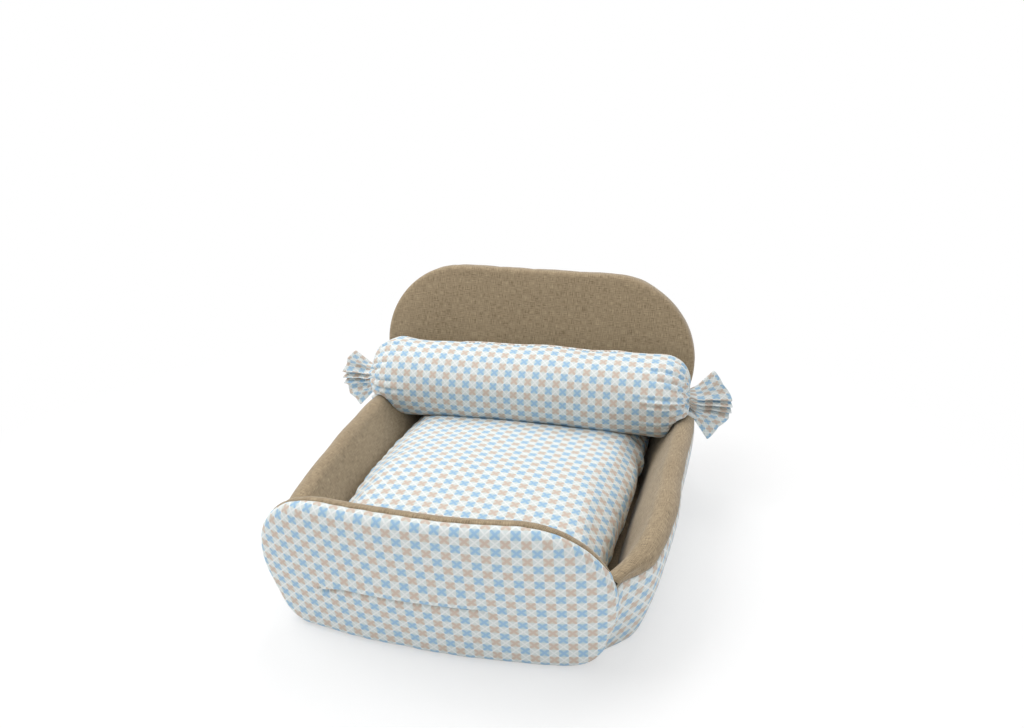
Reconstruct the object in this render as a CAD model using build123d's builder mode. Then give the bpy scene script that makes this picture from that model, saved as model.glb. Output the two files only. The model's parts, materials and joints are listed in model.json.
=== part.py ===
"""Pet bed: a sleigh shaped shell of four padded walls on a padded base, a loose seat cushion
and a loose bolster with gathered ends, and a concealed zip in the front panel and the bolster.

The origin is the centre of the underside, X runs along the width, Y from the front to the
back, and Z is up. All lengths are millimetres and all angles degrees.
"""

import os
from math import cos, degrees, radians, sin

from build123d import *

# Cloth and clearances
cloth = 1.5
soft_gap = 0.5
overrun = 60.0
edge_round = 11.0

# Base
base_thickness = 12.0
base_lining = 1.0
bottom_inset = 4.0
bottom_corner_radius = 32.0

# Front panel, which leans outwards and is bowed
front_height = 188.0
front_half_width = 199.0
front_thickness = 28.0
front_shoulder_radius = 105.0
front_foot_radius = 42.0
front_bow_radius = 840.0
front_foot_y = -245.5
front_lean = 12.0
front_side_taper = 17.0
front_seam_share = 0.48

# Back panel, which leans backwards and is bowed the other way
back_height = 300.0
back_half_width = 238.0
back_thickness = 28.0
back_shoulder_radius = 135.0
back_foot_radius = 42.0
back_bow_radius = 3600.0
back_foot_y = 260.0
back_lean = 5.0
back_side_taper = 14.0
back_seam_share = 0.2

# Side walls, which bulge along an arc: half widths at the front, at the middle and at the back
wall_thickness = 28.0
wall_front_crest, wall_middle_crest, wall_back_crest = 191.0, 230.0, 214.0
wall_front_y, wall_middle_y, wall_back_y = -260.0, 7.0, 260.0
wall_foot_inset = 27.0
wall_height = 131.0
wall_sweep = 13.5
wall_bulge = 6.0
wall_foot_round = 9.0
wall_foot_round_share = 0.4
wall_seam_angle = 55.0
wall_seam_reach = 3.0

# Seat cushion
cushion_length = 432.0
cushion_height = 106.0
cushion_center_y = 8.0
cushion_seam_share = 0.46
cushion_edge = 2.5
cushion_crown_share = 0.8
cushion_crown_drop_share = 0.2
cushion_foot_share = 0.72
cushion_fullness = 3.0
cushion_front_half_width, cushion_middle_half_width, cushion_back_half_width = 148.0, 177.0, 165.0
cushion_station_shares = (-1, -0.95, -0.82, -0.55, 0, 0.55, 0.82, 0.95, 1)

# Bolster
bolster_radius = 57.0
bolster_full_length = 380.0
bolster_neck_span = 462.0
bolster_neck_radius = 11.0
bolster_neck_length = 8.0
bolster_end_via = 45.0
bolster_center_y = 181.0
bolster_center_z = 147.0
tie_width = 4.0
tie_thickness = 1.4
tail_radius = 56.0
tail_spread = 55.0
tail_droop = 10.0
tail_folds = 9
tail_fold_depth = 13.0
tail_cloth = 4.0
tail_root_share = 0.7

# Concealed zips, one in the front panel and one in the bolster
zip_length = 186.0
zip_tape_width = 11.0
zip_slot = 1.8
zip_tape_thickness = 0.7
zip_tooth_pitch = 3.1
zip_tooth_length = 1.7
zip_tooth_width = 2.4
zip_tooth_height = 1.3
zip_stop_length = 2.4
zip_slider_length = 11.0
zip_slider_width = 9.0
zip_bridge_length = 5.5
zip_plate = 1.0
zip_gap = 0.35
zip_flap_room = 0.6
slit_height = 1.4
front_zip_height = 85.0
zip_lap = 6.0
front_zip_offset = -18.0
bolster_zip_angle = 20.0
bolster_zip_offset = 6.0


class PanelFrame:
    """Planes of a leaning panel: facing is -1 for the front panel and 1 for the back one.

    The face plane lies on the panel's outer face. The bow plane crosses the panel, its origin is
    on the axis of the bow, and the middle of the panel is on its own negative y.
    """

    def __init__(self, foot_y, lean, bow_radius, facing):
        outward = Vector(0, facing * cos(radians(lean)), -sin(radians(lean)))
        upward = Vector(0, facing * sin(radians(lean)), cos(radians(lean)))
        foot = Vector(0, foot_y, 0)
        self.radius = bow_radius
        self.face = Plane(origin=foot, x_dir=(-facing, 0, 0), z_dir=outward)
        self.bow = Plane(origin=foot - outward * bow_radius, x_dir=(-facing, 0, 0), z_dir=upward)


front_frame = PanelFrame(front_foot_y, front_lean, front_bow_radius, -1)
back_frame = PanelFrame(back_foot_y, back_lean, back_bow_radius, 1)


def panel_solid(frame, height, half_width, thickness, shoulder_radius, foot_radius, taper, inset):
    """A bowed slab with rounded shoulders, tapered sides and soft edges, inset all round."""
    top = height - inset
    shoulder_x = half_width - shoulder_radius
    shoulder_z = height - shoulder_radius
    shoulder = shoulder_radius - inset
    foot = foot_radius - inset
    low = inset - edge_round
    foot_z = low + foot
    side_run = (shoulder_z - foot_z + (shoulder - foot) * sin(radians(-taper))) / cos(radians(taper))
    with BuildPart() as slab:
        with BuildSketch(frame.face):
            with BuildLine():
                Line((0, top), (shoulder_x, top))
                turn = CenterArc((shoulder_x, shoulder_z), shoulder, 90, -90 - taper)
                side = PolarLine(turn @ 1, side_run, -90 - taper)
                corner = JernArc(side @ 1, side % 1, foot, taper - 90)
                Line(corner @ 1, (0, (corner @ 1).Y))
                Line((0, (corner @ 1).Y), (0, top))
            make_face()
            mirror(about=Plane.YZ)
        extrude(amount=-overrun - thickness)
        with BuildSketch(frame.bow.offset(-overrun)):
            Circle(frame.radius - inset)
            Circle(frame.radius - thickness + inset, mode=Mode.SUBTRACT)
        extrude(amount=height + 2 * overrun, mode=Mode.INTERSECT)
        split(bisect_by=Plane.XY.offset(cloth), keep=Keep.TOP)
        rims = slab.edges().filter_by(lambda e: e.length > thickness and e.center().Z > cloth + soft_gap)
        fillet(rims, edge_round - inset)
    return slab.part


def front_panel(inset):
    """The front panel's padded outline, drawn in by inset."""
    return panel_solid(
        front_frame, front_height, front_half_width, front_thickness, front_shoulder_radius,
        front_foot_radius, front_side_taper, inset,
    )


def back_panel(inset):
    """The back panel's padded outline, drawn in by inset."""
    return panel_solid(
        back_frame, back_height, back_half_width, back_thickness, back_shoulder_radius,
        back_foot_radius, back_side_taper, inset,
    )


def outside_of_bow(frame, depth):
    """Everything that lies outwards of a cylinder set depth inside the panel's outer face."""
    with BuildPart() as region:
        with BuildSketch(frame.bow.offset(-overrun)):
            Circle(frame.radius + overrun)
            Circle(frame.radius - depth, mode=Mode.SUBTRACT)
        extrude(amount=back_height + 2 * overrun)
    return region.part


front_envelope = front_panel(0)
front_core = front_panel(cloth)
back_envelope = back_panel(0)
back_core = back_panel(cloth)

# Side walls: the right wall's section turns about an upright axis far beyond the left wall

wall_arc = ThreePointArc(
    (wall_front_crest, wall_front_y), (wall_middle_crest, wall_middle_y), (wall_back_crest, wall_back_y),
    mode=Mode.PRIVATE,
)
wall_axis = Axis(wall_arc.arc_center, (0, 0, 1))
wall_radius = wall_arc.radius
wall_turn = radians(wall_sweep)
wall_start = Plane(
    origin=wall_arc.arc_center,
    x_dir=(cos(wall_turn), -sin(wall_turn), 0),
    z_dir=(-sin(wall_turn), -cos(wall_turn), 0),
)


class WallLine:
    """The leaning middle line of the wall's section, with points at a side and a height.

    The section's x is the distance from the wall's axis and its y is the height.
    """

    def __init__(self, grow):
        self.radius = wall_thickness / 2 + grow
        self.center = Vector(wall_radius - wall_thickness / 2, wall_height - wall_thickness / 2)
        self.base = Vector(self.center.X - wall_foot_inset, cloth)
        self.up = (self.center - self.base).normalized()
        self.out = Vector(self.up.Y, -self.up.X)

    def at_height(self, side, height):
        """The point on the outer (1) or inner (-1) face at a height above the floor."""
        start = self.base + self.out * (side * self.radius)
        return start + self.up * ((height - start.Y) / self.up.Y)

    def halfway(self, side):
        """The point of a face's middle, pushed out by its bulge."""
        middle = (self.center + self.base) * 0.5
        return middle + self.out * (side * (self.radius + wall_bulge))

    def on_crest(self, angle):
        """The point on the round crest, angle degrees outwards from its top."""
        turned = self.up * cos(radians(angle)) + self.out * sin(radians(angle))
        return self.center + turned * self.radius


def wall_section(grow):
    """The wall's section: a leaning slab with a round crest and full faces, grown by grow."""
    round_size = wall_foot_round + grow
    line = WallLine(grow)
    corner = line.at_height(1, cloth)
    outer_foot = line.at_height(1, cloth + round_size)
    under = corner - Vector(round_size, 0)
    via = corner * wall_foot_round_share + (under + outer_foot) * ((1 - wall_foot_round_share) / 2)
    inner_foot = line.at_height(-1, cloth)
    with BuildSketch() as section:
        with BuildLine():
            ThreePointArc(outer_foot, line.halfway(1), line.on_crest(90))
            ThreePointArc(line.on_crest(90), line.on_crest(0), line.on_crest(-90))
            ThreePointArc(line.on_crest(-90), line.halfway(-1), inner_foot)
            Line(inner_foot, under)
            ThreePointArc(under, via, outer_foot)
        make_face()
    return section.sketch


def print_side():
    """The part of the wall's section plane that lies outwards of the seam."""
    line = WallLine(0)
    beyond = line.center + (line.on_crest(wall_seam_angle) - line.center) * wall_seam_reach
    far = line.center.X + overrun
    with BuildSketch() as side:
        with BuildLine():
            Polyline((line.base.X, -cloth), line.center, beyond, (far, beyond.Y), (far, -cloth), close=True)
        make_face()
    return side.sketch


def saddle_section(grow):
    """What a piece that is lowered over the wall has to leave free, in the wall's section."""
    line = WallLine(grow)
    side = line.center + Vector(line.radius, 0)
    inner_foot = line.at_height(-1, cloth)
    with BuildSketch() as section:
        with BuildLine():
            ThreePointArc(line.on_crest(-90), line.halfway(-1), inner_foot)
            Polyline(inner_foot, (side.X, cloth), side)
            ThreePointArc(side, line.center + Vector(0, line.radius), line.on_crest(-90))
        make_face()
    return section.sketch


def swept_wall(section):
    """A section carried along the right wall."""
    with BuildPart() as wall:
        with BuildSketch(wall_start):
            add(section)
        revolve(axis=wall_axis, revolution_arc=2 * wall_sweep)
    return wall.part


front_beyond = outside_of_bow(front_frame, front_thickness)
back_beyond = outside_of_bow(back_frame, back_thickness)


def wall_between_panels(section):
    """A section carried along the right wall, from the front panel to the back panel."""
    with BuildPart() as wall:
        add(swept_wall(section))
        add(front_beyond, mode=Mode.SUBTRACT)
        add(back_beyond, mode=Mode.SUBTRACT)
    return wall.solids().sort_by(SortBy.VOLUME)[-1]


wall_skin = wall_section(0) - wall_section(-cloth)
right_envelope = wall_between_panels(wall_section(0))

# Base: the bottom cloth is drawn in all round, and the layers above it fill the well


def plan_outline(wall_inset, panel_inset):
    """The bed's outline on the floor, drawn in from the walls' feet and from the two panels."""
    with BuildSketch() as outline:
        Rectangle(2 * back_half_width, 2 * back_foot_y + 2 * overrun)
        with Locations(wall_arc.arc_center):
            Circle(wall_radius - wall_foot_inset - wall_inset, mode=Mode.INTERSECT)
        with Locations((-wall_arc.arc_center.X, wall_arc.arc_center.Y)):
            Circle(wall_radius - wall_foot_inset - wall_inset, mode=Mode.INTERSECT)
        with Locations((0, front_foot_y + front_bow_radius)):
            Circle(front_bow_radius - panel_inset, mode=Mode.INTERSECT)
        with Locations((0, back_foot_y - back_bow_radius)):
            Circle(back_bow_radius - panel_inset, mode=Mode.INTERSECT)
    return outline.sketch


def base_layer(low, thickness):
    """A flat layer that fills the well from wall to wall and from panel to panel."""
    with BuildPart() as layer:
        with BuildSketch(Plane.XY.offset(low)):
            add(plan_outline(wall_thickness / 2, front_thickness / 2))
        extrude(amount=thickness)
        for solid in (front_envelope, back_envelope, right_envelope):
            add(solid, mode=Mode.SUBTRACT)
        add(mirror(right_envelope, about=Plane.YZ), mode=Mode.SUBTRACT)
    return layer.solids().sort_by(SortBy.VOLUME)[-1]


with BuildPart() as bottom_cover:
    with BuildSketch():
        add(plan_outline(bottom_inset, bottom_inset))
        corners = [corner for corner in vertices() if abs(corner.X) > bottom_corner_radius]
        fillet(corners, bottom_corner_radius)
    extrude(amount=cloth)

with BuildPart() as base_foam:
    add(base_layer(cloth, base_thickness))

with BuildPart() as floor_lining:
    add(base_layer(cloth + base_thickness, base_lining))

# Concealed zips: depths are measured inwards from the outside of the cloth

zip_front = cloth + zip_flap_room
zip_teeth_front = zip_front + zip_plate + zip_gap
zip_tape_front = zip_teeth_front + zip_tooth_height
zip_tape_back = zip_tape_front + zip_tape_thickness
zip_back = zip_tape_back + zip_gap + zip_plate
zip_stop_place = (zip_length - zip_stop_length) / 2 - zip_gap
zip_chain_half = zip_stop_place - zip_stop_length / 2 - zip_gap
zip_chain_edge = zip_slot / 2 + zip_tooth_width


def bowed_strips(near, far, low, high, places, length):
    """Strips that follow the front panel's bow at each place along the zip."""
    outer, inner = front_bow_radius - near, front_bow_radius - far
    half = degrees(length / front_bow_radius) / 2
    with BuildPart() as strips:
        with BuildSketch(front_frame.bow.offset(front_zip_height + zip_lap + low)):
            for place in places:
                start = degrees((front_zip_offset + place) / front_bow_radius) - 90 - half
                with BuildLine():
                    outside = CenterArc((0, 0), outer, start, 2 * half)
                    inside = CenterArc((0, 0), inner, start, 2 * half)
                    Line(outside @ 0, inside @ 0)
                    Line(outside @ 1, inside @ 1)
                make_face()
        extrude(amount=high - low)
    return strips.part


def bowed_blocks(near, far, low, high, places, length):
    """Short straight blocks square to the front panel's bow at each place along the zip."""
    spots = []
    for place in places:
        turn = (front_zip_offset + place) / front_bow_radius
        radius = front_bow_radius - (near + far) / 2
        spots.append(Location((radius * sin(turn), -radius * cos(turn), 0), (0, 0, degrees(turn))))
    with BuildPart() as blocks:
        with BuildSketch(front_frame.bow.offset(front_zip_height + zip_lap + low)):
            with Locations(*spots):
                Rectangle(length, far - near)
        extrude(amount=high - low)
    return blocks.part


def straight_strips(near, far, low, high, places, length):
    """Strips along the bolster's back at each place along the zip."""
    tilt = radians(bolster_zip_angle)
    middle = Plane((0, bolster_center_y, bolster_center_z), x_dir=(1, 0, 0), z_dir=(0, sin(tilt), cos(tilt)))
    with BuildPart() as strips:
        with BuildSketch(middle.offset(bolster_radius - far)):
            with Locations(*[(bolster_zip_offset + place, -(low + high) / 2) for place in places]):
                Rectangle(length, high - low)
        extrude(amount=far - near)
    return strips.part


def zip_pocket(strips):
    """The hollow behind the flap: wide enough for the tapes, deeper behind the slider."""
    wide = zip_slot / 2 + zip_tape_width
    deep = zip_slider_width / 2 + zip_gap
    with BuildPart() as pocket:
        add(strips(0, zip_tape_back, -wide, wide, [0], zip_length))
        add(strips(0, zip_back + zip_gap, -deep, deep, [0], zip_length))
    return pocket.part


def zip_slit(strips):
    """The slit in the cloth, which the lapped cloth above it hides."""
    low, high = -zip_lap - slit_height / 2, -zip_lap + slit_height / 2
    return strips(-soft_gap, cloth + soft_gap, low, high, [0], zip_length)


def zip_tapes(strips):
    """The upper and the lower tape, a slot apart for the slider's bridge."""
    near, far = zip_slot / 2, zip_slot / 2 + zip_tape_width
    with BuildPart() as tapes:
        add(strips(zip_tape_front, zip_tape_back, near, far, [0], zip_length))
        add(strips(zip_tape_front, zip_tape_back, -far, -near, [0], zip_length))
    return tapes.part


def zip_teeth(blocks):
    """Two rows of teeth, half a pitch apart, on the inner edges of the tapes."""
    count = int((2 * zip_chain_half - zip_tooth_length) / zip_tooth_pitch)
    first = -zip_tooth_pitch * count / 2
    upper = [first + index * zip_tooth_pitch for index in range(count + 1)]
    lower = [place + zip_tooth_pitch / 2 for place in upper[:-1]]
    near, far = zip_slot / 2, zip_chain_edge
    with BuildPart() as teeth:
        add(blocks(zip_teeth_front, zip_tape_front, near, far, upper, zip_tooth_length))
        add(blocks(zip_teeth_front, zip_tape_front, -far, -near, lower, zip_tooth_length))
    return teeth.part


def zip_stops(blocks):
    """The stop across both tapes at each end of the teeth."""
    places = [-zip_stop_place, zip_stop_place]
    high = zip_chain_edge
    with BuildPart() as stops:
        add(blocks(zip_teeth_front, zip_tape_front, -high, high, places, zip_stop_length))
    return stops.part


def zip_slider(strips):
    """The slider at the left end: two plates round the tapes, a bridge and two flanges."""
    place = [zip_slider_length / 2 + zip_gap - zip_chain_half]
    half = zip_slider_width / 2
    inner = zip_chain_edge + zip_gap
    bridge = zip_slot / 2 - zip_gap
    behind = zip_tape_back + zip_gap
    with BuildPart() as slider:
        add(strips(zip_front, zip_front + zip_plate, -half, half, place, zip_slider_length))
        add(strips(behind, zip_back, -half, half, place, zip_slider_length))
        add(strips(zip_front, zip_back, -bridge, bridge, place, zip_bridge_length))
        add(strips(zip_front, zip_tape_front - zip_gap, inner, half, place, zip_slider_length))
        add(strips(zip_front, zip_tape_front - zip_gap, -half, -inner, place, zip_slider_length))
    return slider.part


with BuildPart() as front_zip_tapes:
    add(zip_tapes(bowed_strips))

with BuildPart() as front_zip_teeth:
    add(zip_teeth(bowed_blocks))

with BuildPart() as front_zip_stops:
    add(zip_stops(bowed_blocks))

with BuildPart() as front_zip_slider:
    add(zip_slider(bowed_strips))

# Front and back panels: a foam core in a cover outside and a lining inside

with BuildPart() as front_foam:
    add(front_core)
    add(zip_pocket(bowed_strips), mode=Mode.SUBTRACT)

front_print_side = outside_of_bow(front_frame, front_thickness * front_seam_share)
back_print_side = outside_of_bow(back_frame, back_thickness * back_seam_share)

with BuildPart() as front_cover:
    add(front_envelope)
    add(front_core, mode=Mode.SUBTRACT)
    add(front_print_side, mode=Mode.INTERSECT)
    add(zip_slit(bowed_strips), mode=Mode.SUBTRACT)

with BuildPart() as front_lining:
    add(front_envelope)
    add(front_core, mode=Mode.SUBTRACT)
    add(front_print_side, mode=Mode.SUBTRACT)

with BuildPart() as back_foam:
    add(back_core)

with BuildPart() as back_cover:
    add(back_envelope)
    add(back_core, mode=Mode.SUBTRACT)
    add(back_print_side, mode=Mode.INTERSECT)

with BuildPart() as back_lining:
    add(back_envelope)
    add(back_core, mode=Mode.SUBTRACT)
    add(back_print_side, mode=Mode.SUBTRACT)

# Side walls: the left one mirrors the right one

with BuildPart() as right_foam:
    add(wall_between_panels(wall_section(-cloth)))

with BuildPart() as right_cover:
    add(wall_between_panels(wall_skin & print_side()))

with BuildPart() as right_lining:
    add(wall_between_panels(wall_skin - print_side()))

with BuildPart() as left_foam:
    add(mirror(right_foam.part, about=Plane.YZ))

with BuildPart() as left_cover:
    add(mirror(right_cover.part, about=Plane.YZ))

with BuildPart() as left_lining:
    add(mirror(right_lining.part, about=Plane.YZ))

# Bolster: a round body with gathered necks, tied, and a pleated tail beyond each tie

bolster_plane = Plane(origin=(0, bolster_center_y, bolster_center_z), x_dir=(1, 0, 0), z_dir=(0, -1, 0))
bolster_axis = Axis((0, bolster_center_y, bolster_center_z), (1, 0, 0))


def bolster_body(inset):
    """The bolster's round body from neck to neck, drawn in by inset."""
    shoulder_x = bolster_full_length / 2
    neck_x = bolster_neck_span / 2 - inset
    radius = bolster_radius - inset
    neck = bolster_neck_radius - inset
    via_x = shoulder_x + (neck_x - shoulder_x) * sin(radians(bolster_end_via))
    via_y = neck + (radius - neck) * cos(radians(bolster_end_via))
    with BuildPart() as body:
        with BuildSketch(bolster_plane):
            with BuildLine():
                Line((0, 0), (0, radius))
                Line((0, radius), (shoulder_x, radius))
                ThreePointArc((shoulder_x, radius), (via_x, via_y), (neck_x, neck))
                Polyline((neck_x, neck), (neck_x, 0), (0, 0))
            make_face()
            mirror(about=Plane.YZ)
        revolve(axis=bolster_axis)
    return body.part


def bolster_on_walls(inset):
    """The bolster's body as it rests over both side walls, which press it flat there."""
    saddle = swept_wall(saddle_section(soft_gap + inset))
    with BuildPart() as body:
        add(bolster_body(inset))
        add(saddle, mode=Mode.SUBTRACT)
        add(mirror(saddle, about=Plane.YZ), mode=Mode.SUBTRACT)
    return body.part


def pleats(half_height, depth):
    """Corners of a folded strip of cloth seen on end."""
    near = []
    far = []
    for index in range(tail_folds + 1):
        across = half_height * (2 * index / tail_folds - 1)
        fold = depth / 2 if index % 2 else -depth / 2
        near.append((fold - tail_cloth / 2, across))
        far.append((fold + tail_cloth / 2, across))
    return near + far[::-1]


def tail():
    """The right neck and its tail: cloth gathered solid, then fanned out in pleats to a round rim."""
    root_x = bolster_neck_span / 2 + bolster_neck_length * tail_root_share
    along = (cos(radians(tail_droop)), 0, -sin(radians(tail_droop)))
    root = Plane(origin=(root_x, bolster_center_y, bolster_center_z), x_dir=(0, 1, 0), z_dir=along)
    neck = Plane((bolster_neck_span / 2 - cloth, bolster_center_y, bolster_center_z), z_dir=(1, 0, 0))
    root_half = bolster_neck_radius * tail_root_share
    rim_half = root_half + tail_radius * sin(radians(tail_spread)) / cos(radians(tail_spread))
    with BuildPart() as fan:
        with BuildSketch(root):
            with BuildLine():
                Polyline(*pleats(root_half, root_half), close=True)
            make_face()
        with BuildSketch(root.offset(tail_radius)):
            with BuildLine():
                Polyline(*pleats(rim_half, tail_fold_depth * 2), close=True)
            make_face()
        loft(ruled=True)
        with BuildSketch(bolster_plane):
            with Locations((root_x, 0)):
                Circle(tail_radius)
        extrude(amount=tail_radius, both=True, mode=Mode.INTERSECT)
        with BuildSketch(neck):
            Circle(bolster_neck_radius)
        extrude(amount=bolster_neck_length + cloth)
    return fan.part


def tie():
    """The flat elastic tie round the right neck, sunk half its thickness into the gathers."""
    with BuildPart() as ring:
        with BuildSketch(bolster_plane):
            with Locations((bolster_neck_span / 2 + tie_width / 2, bolster_neck_radius)):
                Rectangle(tie_width, tie_thickness)
        revolve(axis=bolster_axis)
    return ring.part


with BuildPart() as bolster_right_tie:
    add(tie())

with BuildPart() as bolster_left_tie:
    add(mirror(tie(), about=Plane.YZ))

with BuildPart() as bolster_filling:
    add(bolster_on_walls(cloth))
    add(zip_pocket(straight_strips), mode=Mode.SUBTRACT)

with BuildPart() as bolster_cover:
    add(bolster_on_walls(0))
    add(bolster_on_walls(cloth), mode=Mode.SUBTRACT)
    add(tail())
    add(mirror(tail(), about=Plane.YZ))
    add(tie(), mode=Mode.SUBTRACT)
    add(mirror(tie(), about=Plane.YZ), mode=Mode.SUBTRACT)
    add(zip_slit(straight_strips), mode=Mode.SUBTRACT)

with BuildPart() as bolster_zip_tapes:
    add(zip_tapes(straight_strips))

with BuildPart() as bolster_zip_teeth:
    add(zip_teeth(straight_strips))

with BuildPart() as bolster_zip_stops:
    add(zip_stops(straight_strips))

with BuildPart() as bolster_zip_slider:
    add(zip_slider(straight_strips))

# Seat cushion: full in the middle, thin at its seam, and dented where the bolster lies

cushion_floor = cloth + base_thickness + base_lining + soft_gap
cushion_seam_z = cushion_floor + cushion_seam_share * cushion_height
cushion_top = cushion_height * (1 - cushion_seam_share)
cushion_bottom = cushion_height * cushion_seam_share

cushion_middle = Plane((0, cushion_center_y, 0), x_dir=(1, 0, 0), z_dir=(0, -1, 0))


def cushion_half_width(share):
    """The seam's half width at a share of the half length, from the front (-1) to the back (1)."""
    front = cushion_front_half_width * share * (share - 1) / 2
    middle = cushion_middle_half_width * (1 - share * share)
    back = cushion_back_half_width * share * (share + 1) / 2
    return front + middle + back


def cushion_body(inset):
    """The cushion's full form, drawn in by inset."""
    half_length = cushion_length / 2 - inset
    with BuildPart() as body:
        for share in cushion_station_shares:
            full = (1 - abs(share) ** cushion_fullness) ** (1 / cushion_fullness)
            half = cushion_half_width(share) - inset
            edge = cushion_edge - inset / 2
            top = edge + (cushion_top - inset - edge) * max(full, edge / cushion_top)
            low = edge + (cushion_bottom - inset - edge) * max(full, edge / cushion_top)
            shoulder = top - (top - edge) * cushion_crown_drop_share
            with BuildSketch(cushion_middle.offset(-share * half_length)):
                with BuildLine():
                    crown = ThreePointArc(
                        (-half * cushion_crown_share, cushion_seam_z + shoulder),
                        (0, cushion_seam_z + top),
                        (half * cushion_crown_share, cushion_seam_z + shoulder),
                    )
                    right = TangentArc(crown @ 1, (half, cushion_seam_z + edge), tangent=crown % 1)
                    floor = Line(
                        (half * cushion_foot_share, cushion_seam_z - low),
                        (-half * cushion_foot_share, cushion_seam_z - low),
                    )
                    Line(right @ 1, (half, cushion_seam_z - edge))
                    TangentArc(floor @ 0, (half, cushion_seam_z - edge), tangent=-(floor % 0))
                    TangentArc(floor @ 1, (-half, cushion_seam_z - edge), tangent=floor % 1)
                    Line((-half, cushion_seam_z - edge), (-half, cushion_seam_z + edge))
                    TangentArc(crown @ 0, (-half, cushion_seam_z + edge), tangent=-(crown % 0))
                make_face()
        loft()
        split(bisect_by=Plane.XY.offset(cushion_floor + inset), keep=Keep.TOP)
    return body.part


with BuildPart() as cushion_filling:
    add(cushion_body(cloth))
    add(bolster_body(-soft_gap - cloth), mode=Mode.SUBTRACT)

with BuildPart() as cushion_cover:
    add(cushion_body(0))
    add(bolster_body(-soft_gap), mode=Mode.SUBTRACT)
    add(cushion_filling.part, mode=Mode.SUBTRACT)

# Each finished piece is labelled and written to its own file

pieces = {
    "bottom_cover": bottom_cover,
    "base_foam": base_foam,
    "floor_lining": floor_lining,
    "front_foam": front_foam,
    "front_cover": front_cover,
    "front_lining": front_lining,
    "back_foam": back_foam,
    "back_cover": back_cover,
    "back_lining": back_lining,
    "left_foam": left_foam,
    "left_cover": left_cover,
    "left_lining": left_lining,
    "right_foam": right_foam,
    "right_cover": right_cover,
    "right_lining": right_lining,
    "front_zip_tapes": front_zip_tapes,
    "front_zip_teeth": front_zip_teeth,
    "front_zip_stops": front_zip_stops,
    "front_zip_slider": front_zip_slider,
    "cushion_cover": cushion_cover,
    "cushion_filling": cushion_filling,
    "bolster_cover": bolster_cover,
    "bolster_filling": bolster_filling,
    "bolster_left_tie": bolster_left_tie,
    "bolster_right_tie": bolster_right_tie,
    "bolster_zip_tapes": bolster_zip_tapes,
    "bolster_zip_teeth": bolster_zip_teeth,
    "bolster_zip_stops": bolster_zip_stops,
    "bolster_zip_slider": bolster_zip_slider,
}

os.makedirs("parts", exist_ok=True)
for name, piece in pieces.items():
    piece.part.label = name
    export_step(piece.part, f"parts/{name}.step")
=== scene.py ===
"""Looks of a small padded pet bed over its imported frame: bowed, leaning print panels lined with
linen, a stuffed seat cushion, and a bolster with gathered, pleated ends. Lengths are metres."""

import json
import logging
from dataclasses import dataclass
from enum import Enum
from math import cos, pi, radians, sin

import bmesh
import bpy
import numpy as np
from mathutils import Matrix, Vector, noise
from mathutils.bvhtree import BVHTree

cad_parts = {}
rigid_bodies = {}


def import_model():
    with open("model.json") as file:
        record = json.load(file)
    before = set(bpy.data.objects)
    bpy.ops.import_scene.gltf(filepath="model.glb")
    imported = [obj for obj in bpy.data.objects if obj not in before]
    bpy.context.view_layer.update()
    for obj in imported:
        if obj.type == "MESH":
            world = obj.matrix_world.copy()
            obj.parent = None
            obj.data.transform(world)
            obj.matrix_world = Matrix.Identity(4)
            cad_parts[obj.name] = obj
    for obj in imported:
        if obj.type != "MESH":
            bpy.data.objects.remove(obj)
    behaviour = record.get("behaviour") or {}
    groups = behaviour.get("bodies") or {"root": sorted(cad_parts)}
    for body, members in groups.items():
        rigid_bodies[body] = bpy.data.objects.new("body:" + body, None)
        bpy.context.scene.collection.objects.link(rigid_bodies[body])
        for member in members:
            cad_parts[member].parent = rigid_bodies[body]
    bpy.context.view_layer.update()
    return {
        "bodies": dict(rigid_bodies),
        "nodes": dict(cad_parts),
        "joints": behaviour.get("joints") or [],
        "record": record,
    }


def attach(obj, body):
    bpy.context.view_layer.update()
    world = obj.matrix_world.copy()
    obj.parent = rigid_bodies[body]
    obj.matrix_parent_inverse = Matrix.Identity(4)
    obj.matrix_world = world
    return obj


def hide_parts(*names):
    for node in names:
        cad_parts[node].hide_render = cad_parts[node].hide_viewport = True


logging.basicConfig(level=logging.INFO, format="%(message)s")
log = logging.getLogger("pet bed")

MM = 0.001
# Thickness of the shell's cloths.
CLOTH = 1.3 * MM
# Pitch of the check print.
CELL = 10.0 * MM
# Height of the lowest cloth above the ground.
FLOOR = 0.4 * MM
# How far a lining's edge lies under the print cloth's at their seam.
SEAM_TUCK = 0.3 * MM
# Points nearer to each other than this are one.
WELD = 0.02 * MM


# Materials


def linear(hex_colour: str) -> tuple[float, float, float, float]:
    """Turns an sRGB hex colour into linear RGBA.

    Args:
        hex_colour: Six hex digits, without a hash.

    Returns:
        The colour in linear light, with alpha 1.
    """
    parts = [int(hex_colour[i : i + 2], 16) / 255 for i in (0, 2, 4)]
    light = [p / 12.92 if p <= 0.04045 else ((p + 0.055) / 1.055) ** 2.4 for p in parts]
    return (*light, 1.0)


def add_node(tree: bpy.types.NodeTree, kind: str, links: dict | None = None, **settings) -> bpy.types.Node:
    """Adds one node with its settings and the links or values of its inputs.

    Args:
        tree: The node tree.
        kind: The node's type name.
        links: Input name or index to a socket, a node, which stands for its first output, or a value.
        settings: The node's own properties.

    Returns:
        The new node.
    """
    node = tree.nodes.new(kind)
    for name, value in settings.items():
        setattr(node, name, value)
    for key, value in (links or {}).items():
        source = value.outputs[0] if isinstance(value, bpy.types.Node) else value
        if isinstance(source, bpy.types.NodeSocket):
            tree.links.new(source, node.inputs[key])
        else:
            node.inputs[key].default_value = source
    return node


class Weave(Enum):
    """Thread spacing of a cloth."""

    FINE = 0.45 * MM
    SLUBBY = 0.7 * MM


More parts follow.
